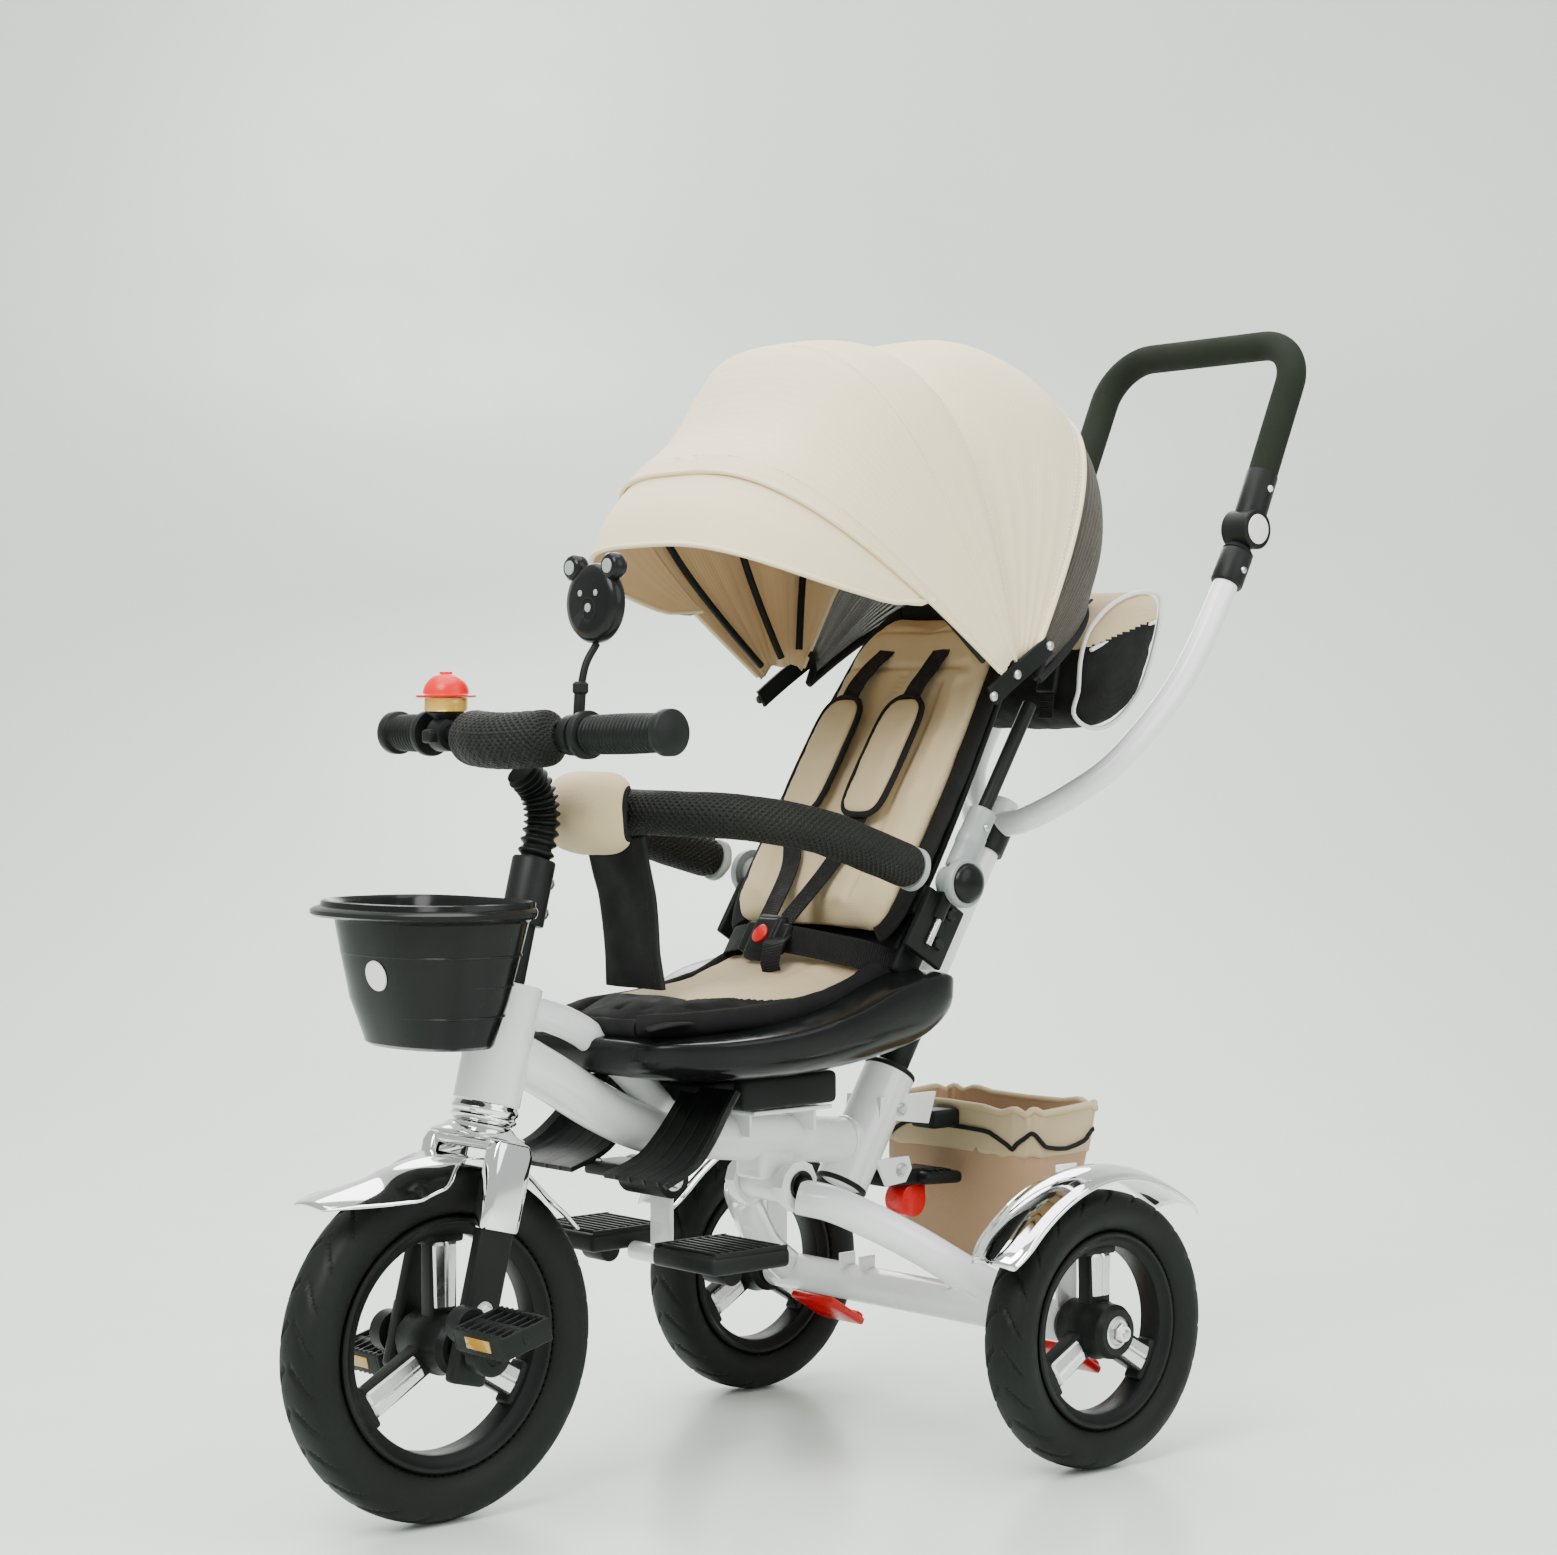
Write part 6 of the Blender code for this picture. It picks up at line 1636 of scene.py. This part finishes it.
def make_rear_basket():
    """The fabric tub behind the seat, with a band, a bound flap and a lining."""
    table = [(0.1585, 0.080, 0.0540, 0.122), (0.1620, 0.087, 0.0485, 0.1275), (0.200, 0.0935, 0.0475, 0.1375),
             (0.240, 0.1000, 0.0465, 0.1450), (0.2600, 0.1018, 0.0462, 0.1498),
             (0.3030, 0.1055, 0.0452, 0.1558)]
    rows, inner = [], []
    for z, half, front, rear in smooth_rows(table, 8):
        share = (z - 0.158) / 0.148
        sag = 0.014 * math.sin(math.pi * share)
        gather = 0.006 * ease((share - 0.45) / 0.5)
        rows.append(tub_ring(half, front, rear, z, sag, gather))
        inner.append(tub_ring(half - 0.003, front + 0.003, rear - 0.003, max(z, 0.1625), sag, gather))
    lower = Shape().rows(rows[:34], ring=True)
    lower.add(Shape().rows([rows[0], [Vector((0, 0.088, 0.1585)) for _ in rows[0]]], ring=True))
    # The lower tub takes the shaded copy of the tan cloth: painted shade.
    body = piece("rear_tub_lower", lower, SHADED_TAN, "", ["rear_basket"], 60, thick=-0.0016)
    wrinkle(body, 0.0022, 26)
    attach(body, "frame")
    upper = Shape().rows(rows[32:], ring=True)
    band = piece("rear_tub_band", upper.moved(lambda p: p + (Vector((p.x, p.y - 0.095,
                                                                     0)).normalized() * 0.0010)),
                 BASKET, "", (), 60, thick=-0.0024)
    wrinkle(band, 0.0010, 40)
    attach(band, "frame")
    lining = Shape().rows(inner, ring=True)
    lining.add(Shape().rows([inner[0], [Vector((0, 0.088, 0.1625)) for _ in inner[0]]], ring=True))
    # The lining also takes the shaded copy of the tan cloth: painted shade.
    inside = piece("rear_tub_lining", lining, SHADED_TAN, "frame", (), 60)
    rim_row = rows[-1]
    piece("rear_tub_rim", tube(rim_row[::2], 0.0036, 14, 1, closed=True), BASKET, "frame", (),
          60)
    piping = Shape()
    scallop = []
    for k, point in enumerate(rows[34]):
        out = Vector((point.x, point.y - 0.095, 0)).normalized()
        rise = 0.016 * abs(math.sin(2 * math.pi * k / 144 * 3)) - 0.004
        scallop.append(point + out * 0.0030 + Vector((0, 0, rise)))
    piping.add(tube(scallop[::2], 0.0022, 10, 2, closed=True))
    piece("rear_tub_piping", piping, BORDER, "frame", (), 60)
    tab = box((0, 0.0280, 0.292), (0.034, 0.036, 0.018), 0.0, 0.004)
    piece("rear_tub_hook", tab, SATIN, "frame")


# ---------------------------------------------------------------- stage


def make_stage():
    """A pale floor that sweeps up behind, soft lamps and an even sky."""
    away = Vector((-math.sin(VIEW_AZIMUTH), math.cos(VIEW_AZIMUTH), 0))
    side = Vector((math.cos(VIEW_AZIMUTH), math.sin(VIEW_AZIMUTH), 0))
    mesh = bpy.data.meshes.new("studio_sweep")
    points, faces = [], []
    profile = [(-6.0, 0.0), (0.0, 0.0), (2.0, 0.0)]
    profile += [(2.0 + 1.6 * math.sin(a), 1.6 - 1.6 * math.cos(a)) for a in
                (math.radians(6 * i) for i in range(1, 16))]
    profile.append((3.6, 7.0))
    for along, z in profile:
        for across in (-7.0, 7.0):
            point = away * along + side * across
            points.append((point.x, point.y, z))
    for i in range(len(profile) - 1):
        faces.append((2 * i, 2 * i + 1, 2 * i + 3, 2 * i + 2))
    mesh.from_pydata(points, [], faces)
    mesh.polygons.foreach_set("use_smooth", [True] * len(mesh.polygons))
    sweep = bpy.data.objects.new("studio_sweep", mesh)
    bpy.context.scene.collection.objects.link(sweep)
    floor = look("studio_floor", ((0.78, 0.84, 0.78), (0.80, 0.86, 0.80)), (0.20, 0.26), (60, 0.02), 1.5,
                 edge=0.0)
    mesh.materials.append(floor.material)
    for name, place, size, power in (("key", (0.9, -2.8, 3.2), 2.2, 185), ("fill", (3.0, 0.6, 2.0), 2.8, 60),
                                     ("top", (-0.2, -0.1, 3.2), 3.2, 125),
                                     ("rim", (-2.2, 1.6, 2.2), 2.0, 60)):
        lamp = bpy.data.lights.new(name, "AREA")
        lamp.shape, lamp.size, lamp.energy = "DISK", size, power
        obj = bpy.data.objects.new(name, lamp)
        obj.location = place
        obj.rotation_euler = (Vector((0, 0, 0.45)) - Vector(place)).to_track_quat("-Z", "Y").to_euler()
        bpy.context.scene.collection.objects.link(obj)
    air = bpy.data.worlds.new("studio")
    air.use_nodes = True
    background = air.node_tree.nodes["Background"]
    background.inputs["Color"].default_value = (0.80, 0.84, 0.82, 1.0)
    background.inputs["Strength"].default_value = 0.88
    bpy.context.scene.world = air


def make_camera():
    """The view from ahead and to the left, a little above the handlebar."""
    flat = math.cos(VIEW_HEIGHT)
    back = Vector((math.sin(VIEW_AZIMUTH) * flat, -math.cos(VIEW_AZIMUTH) * flat, math.sin(VIEW_HEIGHT)))
    lens = bpy.data.cameras.new("view")
    lens.lens, lens.sensor_width = 72.6, 36
    camera = bpy.data.objects.new("view", lens)
    camera.location = world((2.1583, -2.0868, 0.6608))
    camera.rotation_euler = (-back).to_track_quat("-Z", "Y").to_euler()
    bpy.context.scene.collection.objects.link(camera)
    bpy.context.scene.camera = camera


make_stage()
make_camera()
make_wheels()
make_frame()
make_headset_and_fork()
make_fenders()
make_rear_frame()
make_column()
make_grips()
make_bell()
make_mirror()
make_front_basket()
make_crank()
make_handle()
make_seat()
make_back()
make_harness()
make_uprights()
make_bumper()
make_footrest()
make_canopy()
make_storage_bag()
make_rear_basket()

bpy.context.view_layer.update()
